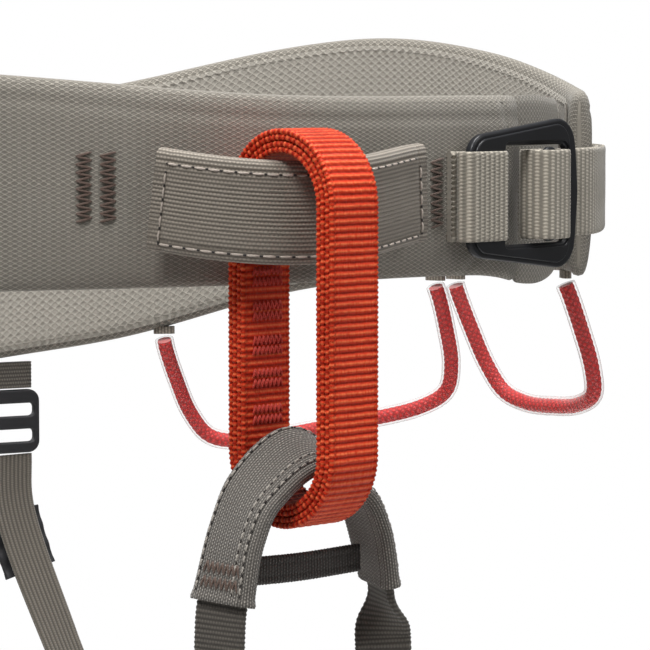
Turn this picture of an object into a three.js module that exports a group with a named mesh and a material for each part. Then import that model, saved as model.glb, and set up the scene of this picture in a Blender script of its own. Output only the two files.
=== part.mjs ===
import * as THREE from 'three';

// A climbing harness in millimetres. +Z is up, the front faces -Y and +X is the wearer's left,
// the side of the buckle. The origin is the centre of the waist at the front belt's mid height.

const GAP = 0.3;

// Waist belt: the oval it wraps round, and its layers from the body outwards.
const WAIST_HALF_WIDTH = 146;
const WAIST_HALF_DEPTH = 105;
const LINING_THICKNESS = 1;
const PAD_THICKNESS = 5;
const LOAD_WEBBING_THICKNESS = 1.2;
const LOAD_WEBBING_HEIGHT = 25;
const SHELL_THICKNESS = 1;
const BINDING_HEIGHT = 2;
const PANEL_END_ARC = 99;
const PANEL_TAPER_ARC = 14;
const PANEL_END_FULLNESS = 0.4;
const OUTER_END_ARC = 149;
const FLARE = 5;
const FLARE_ARC = 85;
const BELT_STEPS = 52;

// Height of the belt's two edges round the waist: angle from the front, top edge, bottom edge.
const BELT_EDGES = [
  [-180, 20, -66], [-160, 29.5, -59], [-137, 41.5, -44], [-120, 45, -38], [-90, 42, -33],
  [-60, 37, -29], [-30, 32, -27], [0, 26.5, -26.5], [30, 26, -27], [45, 26, -31.5],
  [60, 26.5, -32], [75, 29, -31.5], [100, 40, -34], [120, 45, -38], [137, 41.5, -44],
  [160, 29.5, -59], [180, 20, -66],
];

// Thin flap behind the buckle, tucked under the belt's outer end.
const FLAP_END_ARC = 168;
const FLAP_THICKNESS = 2.4;
const FLAP_LIFT = 1;

// Upper tie-in: webbing in a protective sleeve that stands off the belt.
const TIE_IN_START_ARC = -36;
const TIE_IN_END_ARC = 44;
const TIE_IN_HEIGHT = 28;
const TIE_IN_CENTRE_Z = -1.5;
const TIE_IN_SAG = 3.8;
const TIE_IN_CROWN_ARC = -4;
const TIE_IN_SLEEVE_THICKNESS = 6;
const TIE_IN_CLEARANCE = 0.8;
const TIE_IN_WEBBING_HEIGHT = 22;
const TIE_IN_WEBBING_THICKNESS = 2.8;

// Belay loop: two turns of webbing, hung on the tie-in and turned a little by its stiffness.
const LOOP_HEIGHT = 108;
const LOOP_DEPTH = 41;
const LOOP_WIDTH = 18;
const LOOP_LAYER = 3.05;
const LOOP_CLEARANCE = 2.4;
const LOOP_STAND_OFF = 3.6;
const LOOP_TWIST = 16;

// Lower tie-in: an arch of sleeved webbing through the belay loop, and the strap across it.
const BRIDGE_RISE = 20.3;
const BRIDGE_TILT = 30;
const BRIDGE_TURN = 12;
const BRIDGE_TOE = 0.34;
const BRIDGE_STEPS = 48;
const BRIDGE_WIDTH = 20;
const BRIDGE_SLEEVE_THICKNESS = 5.6;
const BRIDGE_WEBBING_WIDTH = 16;
const BRIDGE_WEBBING_THICKNESS = 2.4;
const BRIDGE_HALF_SPAN = 29;
const BRIDGE_SLEEVE_DROP = 38.8;
const BRIDGE_WEBBING_DROP = 53.8;
const CROSS_STRAP_DROP = 31.3;
const CROSS_STRAP_HEIGHT = 8;
const CROSS_STRAP_THICKNESS = 1.8;

// Buckle: a flat frame on the belt's surface, and the bar plate that the strap turns round.
const BUCKLE_ARC = 83.5;
const BUCKLE_Z = -3.2;
const BUCKLE_LENGTH = 51;
const BUCKLE_HEIGHT = 43;
const BUCKLE_THICKNESS = 3;
const BUCKLE_LIFT = 6;
const BUCKLE_TILT = 6;
const ANCHOR_BAR_WIDTH = 12.5;
const RIM_WIDTH = 4.6;
const RAIL_HEIGHT = 6.6;
const SLIDER_BAR_START = 1.5;
const SLIDER_BAR_WIDTH = 13.8;
const SLIDER_THICKNESS = 2.6;
const SLIDER_HEIGHT = 38.4;
const STRAP_HEIGHT = 27;
const STRAP_THICKNESS = 1.5;
const STRAP_SEWN_ARC = 214;
const STRAP_TAIL_ARC = 206;
const KEEPER_ARC = 186;
const KEEPER_WIDTH = 9;
const KEEPER_THICKNESS = 1.3;

// Gear loops: a cord core in a clear sheath. Arcs of the two ends on the wearer's left side.
const GEAR_LOOPS = { front: [173.4, 230.2], rear: [238.1, 332.8] };
const GEAR_DROP = 46;
const GEAR_CORNER = 15;
const GEAR_TILT = 22;
const SHEATH_RADIUS = 3.75;
const SHEATH_BORE = 2.65;
const CORE_RADIUS = 2.25;
const ANCHOR_WIDTH = 7;
const ANCHOR_THICKNESS = 3;
const ANCHOR_DROP = 2;
const PIVOT_DROP = 2.3;

// Haul loop at the back.
const HAUL_SPAN = 44;
const HAUL_DROP = 34;
const HAUL_RADIUS = 2.6;
const HAUL_CORNER = 12;
const HAUL_Z = -18;
const HAUL_STAND_OFF = 5.2;
const HAUL_TAB_HEIGHT = 8;

// Leg loops: a tilted oval round each thigh, and its layers.
const LEG_SPACING = 14;
const LEG_Y = -22;
const LEG_DROP = 147.8;
const LEG_HALF_WIDTH = 78;
const LEG_HALF_DEPTH = 105;
const LEG_TILT = 25;
const LEG_LINING = 1;
const LEG_PAD = 5;
const LEG_SHELL = 1;
const LEG_WEBBING = 1.5;
const LEG_WEBBING_HEIGHT = 20;
const CUFF_START = -45;
const CUFF_END = 250;
const CUFF_FRONT_HEIGHT = 44;
const CUFF_REAR_HEIGHT = 72;
const CUFF_STEPS = 32;
const LEG_WEBBING_STEPS = 36;
const LEG_STRAP_WIDTH = 16;
const LEG_STRAP_THICKNESS = 2.4;
const LEG_STRAP_PLACE = 9;
const LEG_STRAP_LIFT = 0.8;
const LEG_JOINT_GAP = 0.8;
const ELASTIC_HEIGHT = 25;
const ELASTIC_THICKNESS = 1.2;

// Rear risers: elastic straps from the belt's rear to the leg loops.
const RISER_X = 11;
const RISER_WIDTH = 15;
const RISER_THICKNESS = 1.6;
const RISER_END_X = 50;
const HANGER_HEIGHT = 9;
const HOOK_HEIGHT = 22;
const HOOK_WIDTH = 20;
const HOOK_THICKNESS = 3;

const UP = new THREE.Vector3(0, 0, 1);
const RADIANS = Math.PI / 180;

const fabric = (color) => new THREE.MeshStandardMaterial({ color, roughness: 0.9, metalness: 0 });
const MATERIALS = {
  beltFabric: fabric(0x8f8c84),
  lining: fabric(0x8a8886),
  foam: fabric(0x55534f),
  taupeWebbing: fabric(0x8b8478),
  buckleWebbing: fabric(0xa19a8c),
  redWebbing: fabric(0xd0361c),
  darkWebbing: fabric(0x4a4540),
  bridgeSleeve: fabric(0x6b655f),
  elastic: fabric(0x3d3a37),
  redCord: fabric(0xb52618),
  clearTube: new THREE.MeshStandardMaterial({ color: 0xe8e6e2, roughness: 0.25, opacity: 0.4, transparent: true }),
  blackMetal: new THREE.MeshStandardMaterial({ color: 0x15161a, roughness: 0.4, metalness: 0.9 }),
  blackPlastic: new THREE.MeshStandardMaterial({ color: 0x1b1b1d, roughness: 0.5, metalness: 0 }),
};

const harness = new THREE.Group();

function addPiece(name, geometry, material) {
  const mesh = new THREE.Mesh(geometry, material);
  mesh.name = name;
  harness.add(mesh);
  return mesh;
}

// ---- Ovals, edges and general shapes ----

// An oval ring seen from above. Angles and arc lengths start at its front and grow towards +X.
class OvalRing {
  constructor(halfWidth, halfDepth) {
    this.halfWidth = halfWidth;
    this.halfDepth = halfDepth;
    this.lengths = [0];
    for (let degree = 1; degree <= 360; degree += 1) {
      const step = this.at(degree, 0).distanceTo(this.at(degree - 1, 0));
      this.lengths.push(this.lengths[degree - 1] + step);
    }
    this.perimeter = this.lengths[360];
  }

  outward(angle) {
    const turn = angle * RADIANS;
    return new THREE.Vector2(Math.sin(turn) / this.halfWidth, -Math.cos(turn) / this.halfDepth).normalize();
  }

  at(angle, offset) {
    const turn = angle * RADIANS;
    const point = new THREE.Vector2(this.halfWidth * Math.sin(turn), -this.halfDepth * Math.cos(turn));
    return point.addScaledVector(this.outward(angle), offset);
  }

  angleAt(arc) {
    const turns = Math.floor(arc / this.perimeter);
    const rest = arc - turns * this.perimeter;
    const next = Math.max(1, this.lengths.findIndex((length) => length >= rest));
    const start = this.lengths[next - 1];
    return turns * 360 + next - 1 + (rest - start) / (this.lengths[next] - start);
  }
}

const waist = new OvalRing(WAIST_HALF_WIDTH, WAIST_HALF_DEPTH);
const thigh = new OvalRing(LEG_HALF_WIDTH, LEG_HALF_DEPTH);

const edgeTable = new THREE.CubicInterpolant(
  BELT_EDGES.map(([angle]) => angle), BELT_EDGES.flatMap(([, top, bottom]) => [top, bottom]), 2, []);

function beltEdges(angle) {
  const wrapped = THREE.MathUtils.euclideanModulo(angle + 180, 360) - 180;
  const [top, bottom] = edgeTable.evaluate(wrapped);
  return { top, bottom };
}

function onWaist(angle, offset, height) {
  const point = waist.at(angle, offset);
  return new THREE.Vector3(point.x, point.y, height);
}

// Moves every corner of a geometry with place(point), which changes the point it is given.
function bend(geometry, place) {
  const corners = geometry.attributes.position;
  const point = new THREE.Vector3();
  for (let index = 0; index < corners.count; index += 1) {
    point.fromBufferAttribute(corners, index);
    place(point);
    corners.setXYZ(index, point.x, point.y, point.z);
  }
  geometry.computeVertexNormals();
  return geometry;
}

// A strip with four long edges. surface(along, up, out) takes shares from 0 to 1.
function bentStrip(steps, surface) {
  const box = new THREE.BoxGeometry(1, 1, 1, steps, 1, 1);
  return bend(box, (point) => point.copy(surface(point.x + 0.5, point.y + 0.5, point.z + 0.5)));
}

// Carries a flat outline along a path. x of the outline follows sideAt, y points to the face.
function sweep(outline, steps, pathAt, sideAt, scaleAt = () => 1) {
  const straight = new THREE.ExtrudeGeometry(outline, { depth: 1, steps, bevelEnabled: false, curveSegments: 2 });
  const reach = 0.002;
  return bend(straight, (point) => {
    const share = THREE.MathUtils.clamp(point.z, 0, 1);
    const before = pathAt(Math.max(0, share - reach));
    const tangent = pathAt(Math.min(1, share + reach)).sub(before).normalize();
    const side = sideAt(share).clone().addScaledVector(tangent, -sideAt(share).dot(tangent)).normalize();
    const face = new THREE.Vector3().crossVectors(tangent, side);
    const scale = scaleAt(share);
    const centre = pathAt(share);
    const { x, y } = point;
    point.copy(centre).addScaledVector(side, x * scale).addScaledVector(face, y * scale);
  });
}

function smoothPath(points) {
  const curve = new THREE.CatmullRomCurve3(points, false, 'centripetal');
  return (share) => curve.getPoint(share);
}

const constantly = (direction) => () => direction;

function rectangle(width, height) {
  const outline = new THREE.Shape();
  outline.moveTo(-width / 2, -height / 2);
  outline.lineTo(width / 2, -height / 2);
  outline.lineTo(width / 2, height / 2);
  outline.lineTo(-width / 2, height / 2);
  outline.closePath();
  return outline;
}

function roundedRectangle(width, height, radius, Outline = THREE.Shape) {
  const x = width / 2 - radius;
  const y = height / 2 - radius;
  const outline = new Outline();
  outline.absarc(x, -y, radius, -Math.PI / 2, 0);
  outline.absarc(x, y, radius, 0, Math.PI / 2);
  outline.absarc(-x, y, radius, Math.PI / 2, Math.PI);
  outline.absarc(-x, -y, radius, Math.PI, Math.PI * 1.5);
  outline.closePath();
  return outline;
}

// A sleeve's section: rounded outside, with a slot that clears the webbing inside it.
function sleeveSection(width, thickness, slotWidth, slotThickness) {
  const outline = roundedRectangle(width, thickness, thickness / 2 - 0.1);
  const slot = new THREE.Path();
  slot.moveTo(-slotWidth / 2, -slotThickness / 2);
  slot.lineTo(-slotWidth / 2, slotThickness / 2);
  slot.lineTo(slotWidth / 2, slotThickness / 2);
  slot.lineTo(slotWidth / 2, -slotThickness / 2);
  slot.closePath();
  outline.holes.push(slot);
  return outline;
}

function polygon(radius, sides, Outline = THREE.Shape) {
  const outline = new Outline();
  for (let corner = 0; corner <= sides; corner += 1) {
    const turn = (2 * Math.PI * corner) / sides;
    const draw = corner === 0 ? 'moveTo' : 'lineTo';
    outline[draw](radius * Math.cos(turn), radius * Math.sin(turn));
  }
  return outline;
}

// ---- Waist belt ----

const LINING_OUT = LINING_THICKNESS;
const PAD_IN = LINING_OUT + GAP;
const LAYERS_OVER_PAD = GAP + LOAD_WEBBING_THICKNESS + GAP;
const BELT_OUT = PAD_IN + PAD_THICKNESS + LAYERS_OVER_PAD + SHELL_THICKNESS;
const OUTER_END_ANGLE = waist.angleAt(OUTER_END_ARC) - 360;
const PANEL_END_ANGLE = waist.angleAt(PANEL_END_ARC);
const FLARE_END_ANGLE = waist.angleAt(OUTER_END_ARC + FLARE_ARC) - 360;
const TAPER_START_ANGLE = waist.angleAt(PANEL_END_ARC - PANEL_TAPER_ARC);

// The outer end stands off the body so that the flap passes inside it.
function flareAt(angle) {
  return FLARE * (1 - THREE.MathUtils.smoothstep(angle, OUTER_END_ANGLE, FLARE_END_ANGLE));
}

function padThicknessAt(angle) {
  const taper = THREE.MathUtils.smoothstep(angle, TAPER_START_ANGLE, PANEL_END_ANGLE);
  return PAD_THICKNESS * (1 - (1 - PANEL_END_FULLNESS) * taper);
}

const beltSurfaceAt = (angle) => PAD_IN + padThicknessAt(angle) + LAYERS_OVER_PAD + SHELL_THICKNESS;

// A layer of the belt. heights and offsets give [low, high] and [inner, outer] at an angle.
function beltLayer(heights, offsets) {
  return bentStrip(BELT_STEPS, (along, up, out) => {
    const angle = THREE.MathUtils.lerp(OUTER_END_ANGLE, PANEL_END_ANGLE, along);
    const [low, high] = heights(angle);
    const [inner, outer] = offsets(angle);
    const offset = THREE.MathUtils.lerp(inner, outer, out) + flareAt(angle);
    return onWaist(angle, offset, THREE.MathUtils.lerp(low, high, up));
  });
}

function addWaistBelt() {
  const fullHeight = (angle) => {
    const { top, bottom } = beltEdges(angle);
    return [bottom + BINDING_HEIGHT, top - BINDING_HEIGHT];
  };
  const webbingHeight = (angle) => {
    const { top, bottom } = beltEdges(angle);
    const middle = (top + bottom) / 2;
    return [middle - LOAD_WEBBING_HEIGHT / 2, middle + LOAD_WEBBING_HEIGHT / 2];
  };
  const padOut = (angle) => PAD_IN + padThicknessAt(angle);
  const shellIn = (angle) => padOut(angle) + LAYERS_OVER_PAD;
  addPiece('belt_lining', beltLayer(fullHeight, () => [0, LINING_OUT]), MATERIALS.lining);
  addPiece('belt_foam', beltLayer(fullHeight, (angle) => [PAD_IN, padOut(angle)]), MATERIALS.foam);
  const webbing = (angle) => [padOut(angle) + GAP, padOut(angle) + GAP + LOAD_WEBBING_THICKNESS];
  addPiece('belt_load_webbing', beltLayer(webbingHeight, webbing), MATERIALS.darkWebbing);
  const shell = (angle) => [shellIn(angle), shellIn(angle) + SHELL_THICKNESS];
  addPiece('belt_outer_shell', beltLayer(fullHeight, shell), MATERIALS.beltFabric);

  const across = (angle) => [0, beltSurfaceAt(angle)];
  const topBinding = (angle) => {
    const { top } = beltEdges(angle);
    return [top - BINDING_HEIGHT + GAP, top];
  };
  const bottomBinding = (angle) => {
    const { bottom } = beltEdges(angle);
    return [bottom, bottom + BINDING_HEIGHT - GAP];
  };
  addPiece('belt_binding_top', beltLayer(topBinding, across), MATERIALS.beltFabric);
  addPiece('belt_binding_bottom', beltLayer(bottomBinding, across), MATERIALS.beltFabric);
}

function addBuckleFlap() {
  const start = waist.angleAt(PANEL_END_ARC + GAP);
  const end = waist.angleAt(FLAP_END_ARC);
  const flap = bentStrip(8, (along, up, out) => {
    const angle = THREE.MathUtils.lerp(start, end, along);
    const { top, bottom } = beltEdges(angle);
    const narrowing = 3 * THREE.MathUtils.smoothstep(along, 0.2, 0.9);
    const height = THREE.MathUtils.lerp(bottom + narrowing, top - narrowing, up);
    return onWaist(angle, FLAP_LIFT + FLAP_THICKNESS * out, height);
  });
  addPiece('buckle_flap', flap, MATERIALS.beltFabric);
}

// ---- Upper tie-in ----

const TIE_IN_OFFSET = BELT_OUT + GAP + TIE_IN_SLEEVE_THICKNESS / 2 + TIE_IN_CLEARANCE;
const TIE_IN_RISE = BELT_OUT + LOOP_STAND_OFF + LOOP_DEPTH / 2 - TIE_IN_OFFSET;
const tieInShare = (arc) => (arc - TIE_IN_START_ARC) / (TIE_IN_END_ARC - TIE_IN_START_ARC);

// An arch off the belt with its crown where the belay loop pulls on it.
function tieInPath(margin) {
  const crownPower = Math.log(0.5) / Math.log(tieInShare(TIE_IN_CROWN_ARC));
  const start = TIE_IN_START_ARC + margin;
  const end = TIE_IN_END_ARC - margin;
  return (share) => {
    const arc = THREE.MathUtils.lerp(start, end, share);
    const arch = Math.sin(Math.PI * tieInShare(arc) ** crownPower) ** 1.35;
    const offset = TIE_IN_OFFSET + TIE_IN_RISE * arch;
    return onWaist(waist.angleAt(arc), offset, TIE_IN_CENTRE_Z - TIE_IN_SAG * arch);
  };
}

function addTieIn() {
  const webbing = rectangle(TIE_IN_WEBBING_HEIGHT, TIE_IN_WEBBING_THICKNESS);
  addPiece('tie_in_webbing', sweep(webbing, 22, tieInPath(0.6), constantly(UP)), MATERIALS.taupeWebbing);
  const section = sleeveSection(
    TIE_IN_HEIGHT, TIE_IN_SLEEVE_THICKNESS,
    TIE_IN_WEBBING_HEIGHT + 2 * GAP, TIE_IN_WEBBING_THICKNESS + 2 * GAP);
  addPiece('tie_in_sleeve', sweep(section, 22, tieInPath(0.6), constantly(UP)), MATERIALS.taupeWebbing);
}

// ---- Belay loop ----

// The loop is centred on the tie-in's crown and clears its sleeve above.
const tieInCrown = onWaist(
  waist.angleAt(TIE_IN_CROWN_ARC), TIE_IN_OFFSET + TIE_IN_RISE, TIE_IN_CENTRE_Z - TIE_IN_SAG);
const LOOP_X = tieInCrown.x;
const LOOP_Y = tieInCrown.y;
const LOOP_TOP_Z = tieInCrown.z + TIE_IN_HEIGHT / 2 + LOOP_CLEARANCE + 2 * LOOP_LAYER + GAP;
const LOOP_BOTTOM_Z = LOOP_TOP_Z - LOOP_HEIGHT;

function stadium(height, depth, Outline = THREE.Shape) {
  const radius = depth / 2;
  const straight = height / 2 - radius;
  const outline = new Outline();
  outline.absarc(0, straight, radius, 0, Math.PI);
  outline.absarc(0, -straight, radius, Math.PI, 2 * Math.PI);
  outline.closePath();
  return outline;
}

function loopLayer(name, inset) {
  const outline = stadium(LOOP_HEIGHT - 2 * inset, LOOP_DEPTH - 2 * inset);
  const inner = inset + LOOP_LAYER;
  outline.holes.push(stadium(LOOP_HEIGHT - 2 * inner, LOOP_DEPTH - 2 * inner, THREE.Path));
  const ring = new THREE.ExtrudeGeometry(outline, { depth: LOOP_WIDTH, bevelEnabled: false, curveSegments: 12 });
  ring.translate(0, 0, -LOOP_WIDTH / 2);
  ring.rotateX(Math.PI / 2);
  ring.rotateZ(Math.PI / 2);
  const mesh = addPiece(name, ring, MATERIALS.redWebbing);
  mesh.position.set(LOOP_X, LOOP_Y, LOOP_TOP_Z - LOOP_HEIGHT / 2);
  mesh.rotation.z = LOOP_TWIST * RADIANS;
}

function addBelayLoop() {
  loopLayer('belay_loop_outer', 0);
  loopLayer('belay_loop_inner', LOOP_LAYER + GAP);
}

// ---- Lower tie-in bridge ----

const BRIDGE_Z = LOOP_BOTTOM_Z + BRIDGE_RISE;

// A point of the bridge: x along its span, y fore and aft, turned a little with the belay loop.
function onBridge(x, y, drop) {
  const point = new THREE.Vector3(x, y, 0).applyAxisAngle(UP, BRIDGE_TURN * RADIANS);
  return point.add(new THREE.Vector3(LOOP_X, LOOP_Y, BRIDGE_Z - drop));
}

const bridgeArm = (side) => [
  [0, BRIDGE_WEBBING_DROP], [0.6, 41.8], [2.5, 32.8], [6, 20.8], [12.5, 9.6],
].map(([inwards, drop]) => onBridge(side * (BRIDGE_HALF_SPAN - inwards), 0, drop));
const bridgePath = smoothPath([...bridgeArm(-1), onBridge(0, 0, 0), ...bridgeArm(1).reverse()]);

// At the crown the webbing is tilted, front edge down; in the arms it turns level and fore-aft.
function bridgeSide(share) {
  const arm = Math.abs(2 * share - 1);
  const tilt = (1 - THREE.MathUtils.smoothstep(arm, 0, 0.75)) * BRIDGE_TILT * RADIANS;
  const toe = Math.sign(share - 0.5) * BRIDGE_TOE * THREE.MathUtils.smoothstep(arm, 0.2, 0.9);
  const side = new THREE.Vector3(toe, Math.cos(tilt), Math.sin(tilt)).normalize();
  return side.applyAxisAngle(UP, BRIDGE_TURN * RADIANS);
}

function addBridge() {
  const webbing = rectangle(BRIDGE_WEBBING_WIDTH, BRIDGE_WEBBING_THICKNESS);
  const webbingStrip = sweep(webbing, BRIDGE_STEPS, bridgePath, bridgeSide);
  addPiece('leg_bridge_webbing', webbingStrip, MATERIALS.darkWebbing);

  const section = sleeveSection(
    BRIDGE_WIDTH, BRIDGE_SLEEVE_THICKNESS,
    BRIDGE_WEBBING_WIDTH + 5 * GAP, BRIDGE_WEBBING_THICKNESS + 5 * GAP);
  const bareSteps = Math.ceil(shareAtDrop(BRIDGE_SLEEVE_DROP) * BRIDGE_STEPS);
  const sleeveShare = bareSteps / BRIDGE_STEPS;
  const sleevePath = (share) => bridgePath(THREE.MathUtils.lerp(sleeveShare, 1 - sleeveShare, share));
  const sleeveSide = (share) => bridgeSide(THREE.MathUtils.lerp(sleeveShare, 1 - sleeveShare, share));
  const sleeve = sweep(section, BRIDGE_STEPS - 2 * bareSteps, sleevePath, sleeveSide);
  addPiece('leg_bridge_sleeve', sleeve, MATERIALS.bridgeSleeve);

  const upperEdge = bridgePath(shareAtDrop(CROSS_STRAP_DROP - CROSS_STRAP_HEIGHT / 2));
  const centreLine = new THREE.Vector2(upperEdge.x - LOOP_X, upperEdge.y - LOOP_Y).length();
  const length = 2 * (centreLine - BRIDGE_SLEEVE_THICKNESS / 2 - 4 * GAP);
  const strap = new THREE.BoxGeometry(length, CROSS_STRAP_THICKNESS, CROSS_STRAP_HEIGHT);
  const mesh = addPiece('bridge_cross_strap', strap, MATERIALS.darkWebbing);
  mesh.position.copy(onBridge(0, 1, CROSS_STRAP_DROP));
  mesh.rotation.z = BRIDGE_TURN * RADIANS;
}

// Share of the bridge's path at which its first arm is a drop below the crown.
function shareAtDrop(drop) {
  let share = 0;
  while (bridgePath(share).z < BRIDGE_Z - drop) share += 0.001;
  return share;
}

// ---- Buckle, waist strap and keeper ----

// The buckle's own frame: x along the belt, y up, z outwards, tilted so that its rim stands off.
const buckleAngle = waist.angleAt(BUCKLE_ARC);
const buckleOutward = waist.outward(buckleAngle);
const buckleTurn = Math.atan2(buckleOutward.x, -buckleOutward.y);
const buckleCentre = onWaist(buckleAngle, BELT_OUT + BUCKLE_LIFT, BUCKLE_Z);
const buckleMatrix = new THREE.Matrix4().makeRotationZ(buckleTurn - BUCKLE_TILT * RADIANS)
  .multiply(new THREE.Matrix4().makeRotationX(Math.PI / 2)).setPosition(buckleCentre);

const onBuckle = (x, outward) => new THREE.Vector3(x, 0, outward).applyMatrix4(buckleMatrix);

function addBuckleFrame() {
  const outline = roundedRectangle(BUCKLE_LENGTH, BUCKLE_HEIGHT, 8);
  const openingLength = BUCKLE_LENGTH - ANCHOR_BAR_WIDTH - RIM_WIDTH;
  const opening = roundedRectangle(openingLength, BUCKLE_HEIGHT - 2 * RAIL_HEIGHT, 1.2, THREE.Path);
  const shift = (ANCHOR_BAR_WIDTH - RIM_WIDTH) / 2;
  const points = opening.getPoints(2).map((point) => point.add(new THREE.Vector2(shift, 0)));
  outline.holes.push(new THREE.Path(points));
  const plate = new THREE.ExtrudeGeometry(
    outline, { depth: BUCKLE_THICKNESS, bevelEnabled: false, curveSegments: 4 });
  plate.translate(0, 0, -BUCKLE_THICKNESS / 2);
  addPiece('buckle_frame', plate.applyMatrix4(buckleMatrix), MATERIALS.blackMetal);
}

function addBuckleSlider() {
  const outline = roundedRectangle(SLIDER_BAR_WIDTH, SLIDER_HEIGHT, 3);
  const plate = new THREE.ExtrudeGeometry(
    outline, { depth: SLIDER_THICKNESS, bevelEnabled: false, curveSegments: 3 });
  plate.translate(SLIDER_BAR_START + SLIDER_BAR_WIDTH / 2, 0, BUCKLE_THICKNESS / 2 + GAP);
  addPiece('buckle_slider', plate.applyMatrix4(buckleMatrix), MATERIALS.blackMetal);
}

// The anchor webbing is one flat closed turn round the frame's wide left bar.
function addAnchorWebbing() {
  const clear = 0.4;
  const holeWidth = ANCHOR_BAR_WIDTH + 2 * clear;
  const holeThickness = BUCKLE_THICKNESS + 2 * clear;
  const wall = STRAP_THICKNESS;
  const outline = roundedRectangle(holeWidth + 2 * wall, holeThickness + 2 * wall, 2.4);
  outline.holes.push(roundedRectangle(holeWidth, holeThickness, 0.9, THREE.Path));
  const height = BUCKLE_HEIGHT - 2 * RAIL_HEIGHT - 3;
  const turn = new THREE.ExtrudeGeometry(outline, { depth: height, bevelEnabled: false, curveSegments: 3 });
  turn.translate(0, 0, -height / 2);
  turn.rotateX(-Math.PI / 2);
  turn.translate(-BUCKLE_LENGTH / 2 + ANCHOR_BAR_WIDTH / 2, 0, 0);
  addPiece('buckle_anchor_webbing', turn.applyMatrix4(buckleMatrix), MATERIALS.buckleWebbing);
}

// The outer end's surface that the waist strap lies on.
function strapOffset(arc, layer) {
  const angle = waist.angleAt(arc) - 360;
  return BELT_OUT + flareAt(angle) + 2 * GAP + STRAP_THICKNESS / 2 + layer * (STRAP_THICKNESS + 2 * GAP);
}

function strapOnBelt(arc, layer) {
  const point = onWaist(waist.angleAt(arc), strapOffset(arc, layer), 0);
  return point.setZ(BUCKLE_Z);
}

function addWaistStrap() {
  const half = STRAP_THICKNESS / 2;
  const rimInner = BUCKLE_LENGTH / 2 - RIM_WIDTH;
  const tailOut = -BUCKLE_THICKNESS / 2 - 1.5 * GAP - half;
  const standingOut = tailOut - STRAP_THICKNESS - 2 * GAP;
  const overOut = BUCKLE_THICKNESS / 2 + GAP + SLIDER_THICKNESS + 1.5 * GAP + half;
  const barLeft = SLIDER_BAR_START;
  const barRight = SLIDER_BAR_START + SLIDER_BAR_WIDTH;
  const gapMiddle = (barRight + rimInner) / 2;
  const spread = (from, to) => [0, 1, 2, 3, 4].map((step) => THREE.MathUtils.lerp(from, to, step / 4));
  const standingArcs = spread(STRAP_SEWN_ARC, OUTER_END_ARC + 11);
  const tailArcs = spread(OUTER_END_ARC + 11, STRAP_TAIL_ARC);
  const points = [
    ...standingArcs.map((arc) => strapOnBelt(arc, 0)),
    strapOnBelt(OUTER_END_ARC, 0),
    onBuckle(BUCKLE_LENGTH / 2 + 13, standingOut - 0.9),
    onBuckle(BUCKLE_LENGTH / 2, standingOut),
    onBuckle(gapMiddle, standingOut),
    onBuckle(barLeft + 3.5, standingOut),
    onBuckle(barLeft, standingOut + 0.3),
    onBuckle(barLeft - 2.4, standingOut + 1.8),
    onBuckle(barLeft - 3.1, standingOut + 4.4),
    onBuckle(barLeft - 3, overOut - 3.1),
    onBuckle(barLeft - 2.1, overOut - 0.9),
    onBuckle(barLeft, overOut + 0.1),
    onBuckle(barLeft + 3, overOut + 0.3),
    onBuckle(barRight - 2.3, overOut + 0.2),
    onBuckle(barRight + 0.5, overOut - 0.1),
    onBuckle(gapMiddle - 0.6, overOut - 1.5),
    onBuckle(gapMiddle + 0.1, overOut - 4),
    onBuckle(gapMiddle + 0.1, tailOut + 2),
    onBuckle(rimInner - 1.5, tailOut + 0.4),
    onBuckle(rimInner + 0.7, tailOut),
    onBuckle(BUCKLE_LENGTH / 2, tailOut),
    onBuckle(BUCKLE_LENGTH / 2 + 13, tailOut - 0.8),
    strapOnBelt(OUTER_END_ARC, 1),
    ...tailArcs.map((arc) => strapOnBelt(arc, 1)),
  ];
  const strap = rectangle(STRAP_HEIGHT, STRAP_THICKNESS);
  addPiece('waist_strap', sweep(strap, 84, smoothPath(points), constantly(UP)), MATERIALS.buckleWebbing);
}

// A flat elastic band over both turns of the strap, with its two feet on the belt.
function addKeeper() {
  const foot = BELT_OUT + flareAt(waist.angleAt(KEEPER_ARC) - 360) + 2 * GAP;
  const innerOut = strapOffset(KEEPER_ARC, 1) + STRAP_THICKNESS / 2 + 3 * GAP;
  const innerUp = STRAP_HEIGHT / 2 + 2 * GAP;
  const outline = new THREE.Shape();
  outline.moveTo(foot, -innerUp - KEEPER_THICKNESS);
  outline.lineTo(innerOut + KEEPER_THICKNESS, -innerUp - KEEPER_THICKNESS);
  outline.lineTo(innerOut + KEEPER_THICKNESS, innerUp + KEEPER_THICKNESS);
  outline.lineTo(foot, innerUp + KEEPER_THICKNESS);
  outline.lineTo(foot, innerUp);
  outline.lineTo(innerOut, innerUp);
  outline.lineTo(innerOut, -innerUp);
  outline.lineTo(foot, -innerUp);
  outline.closePath();
  const band = new THREE.ExtrudeGeometry(outline, { depth: KEEPER_WIDTH, steps: 3, bevelEnabled: false });
  bend(band, (point) => {
    const angle = waist.angleAt(KEEPER_ARC + KEEPER_WIDTH / 2 - point.z);
    point.copy(onWaist(angle, point.x, BUCKLE_Z + point.y));
  });
  addPiece('strap_keeper', band, MATERIALS.elastic);
}

// ---- Gear loops and haul loop ----

// The two end faces of a hanging loop are drawn in, so that it turns freely below its tabs.
const endTaper = (share) => (share === 0 || share === 1 ? 0.5 : 1);

// Joint line of a loop: the two end points below the belt's bottom edge, at mid thickness.
function loopEnds(arcs, side) {
  return arcs.map((arc) => {
    const angle = side * waist.angleAt(arc);
    const height = beltEdges(angle).bottom - GAP - ANCHOR_DROP - PIVOT_DROP;
    const flare = side > 0 ? flareAt(angle - 360) : 0;
    return onWaist(angle, BELT_OUT / 2 + flare, height);
  });
}

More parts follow.
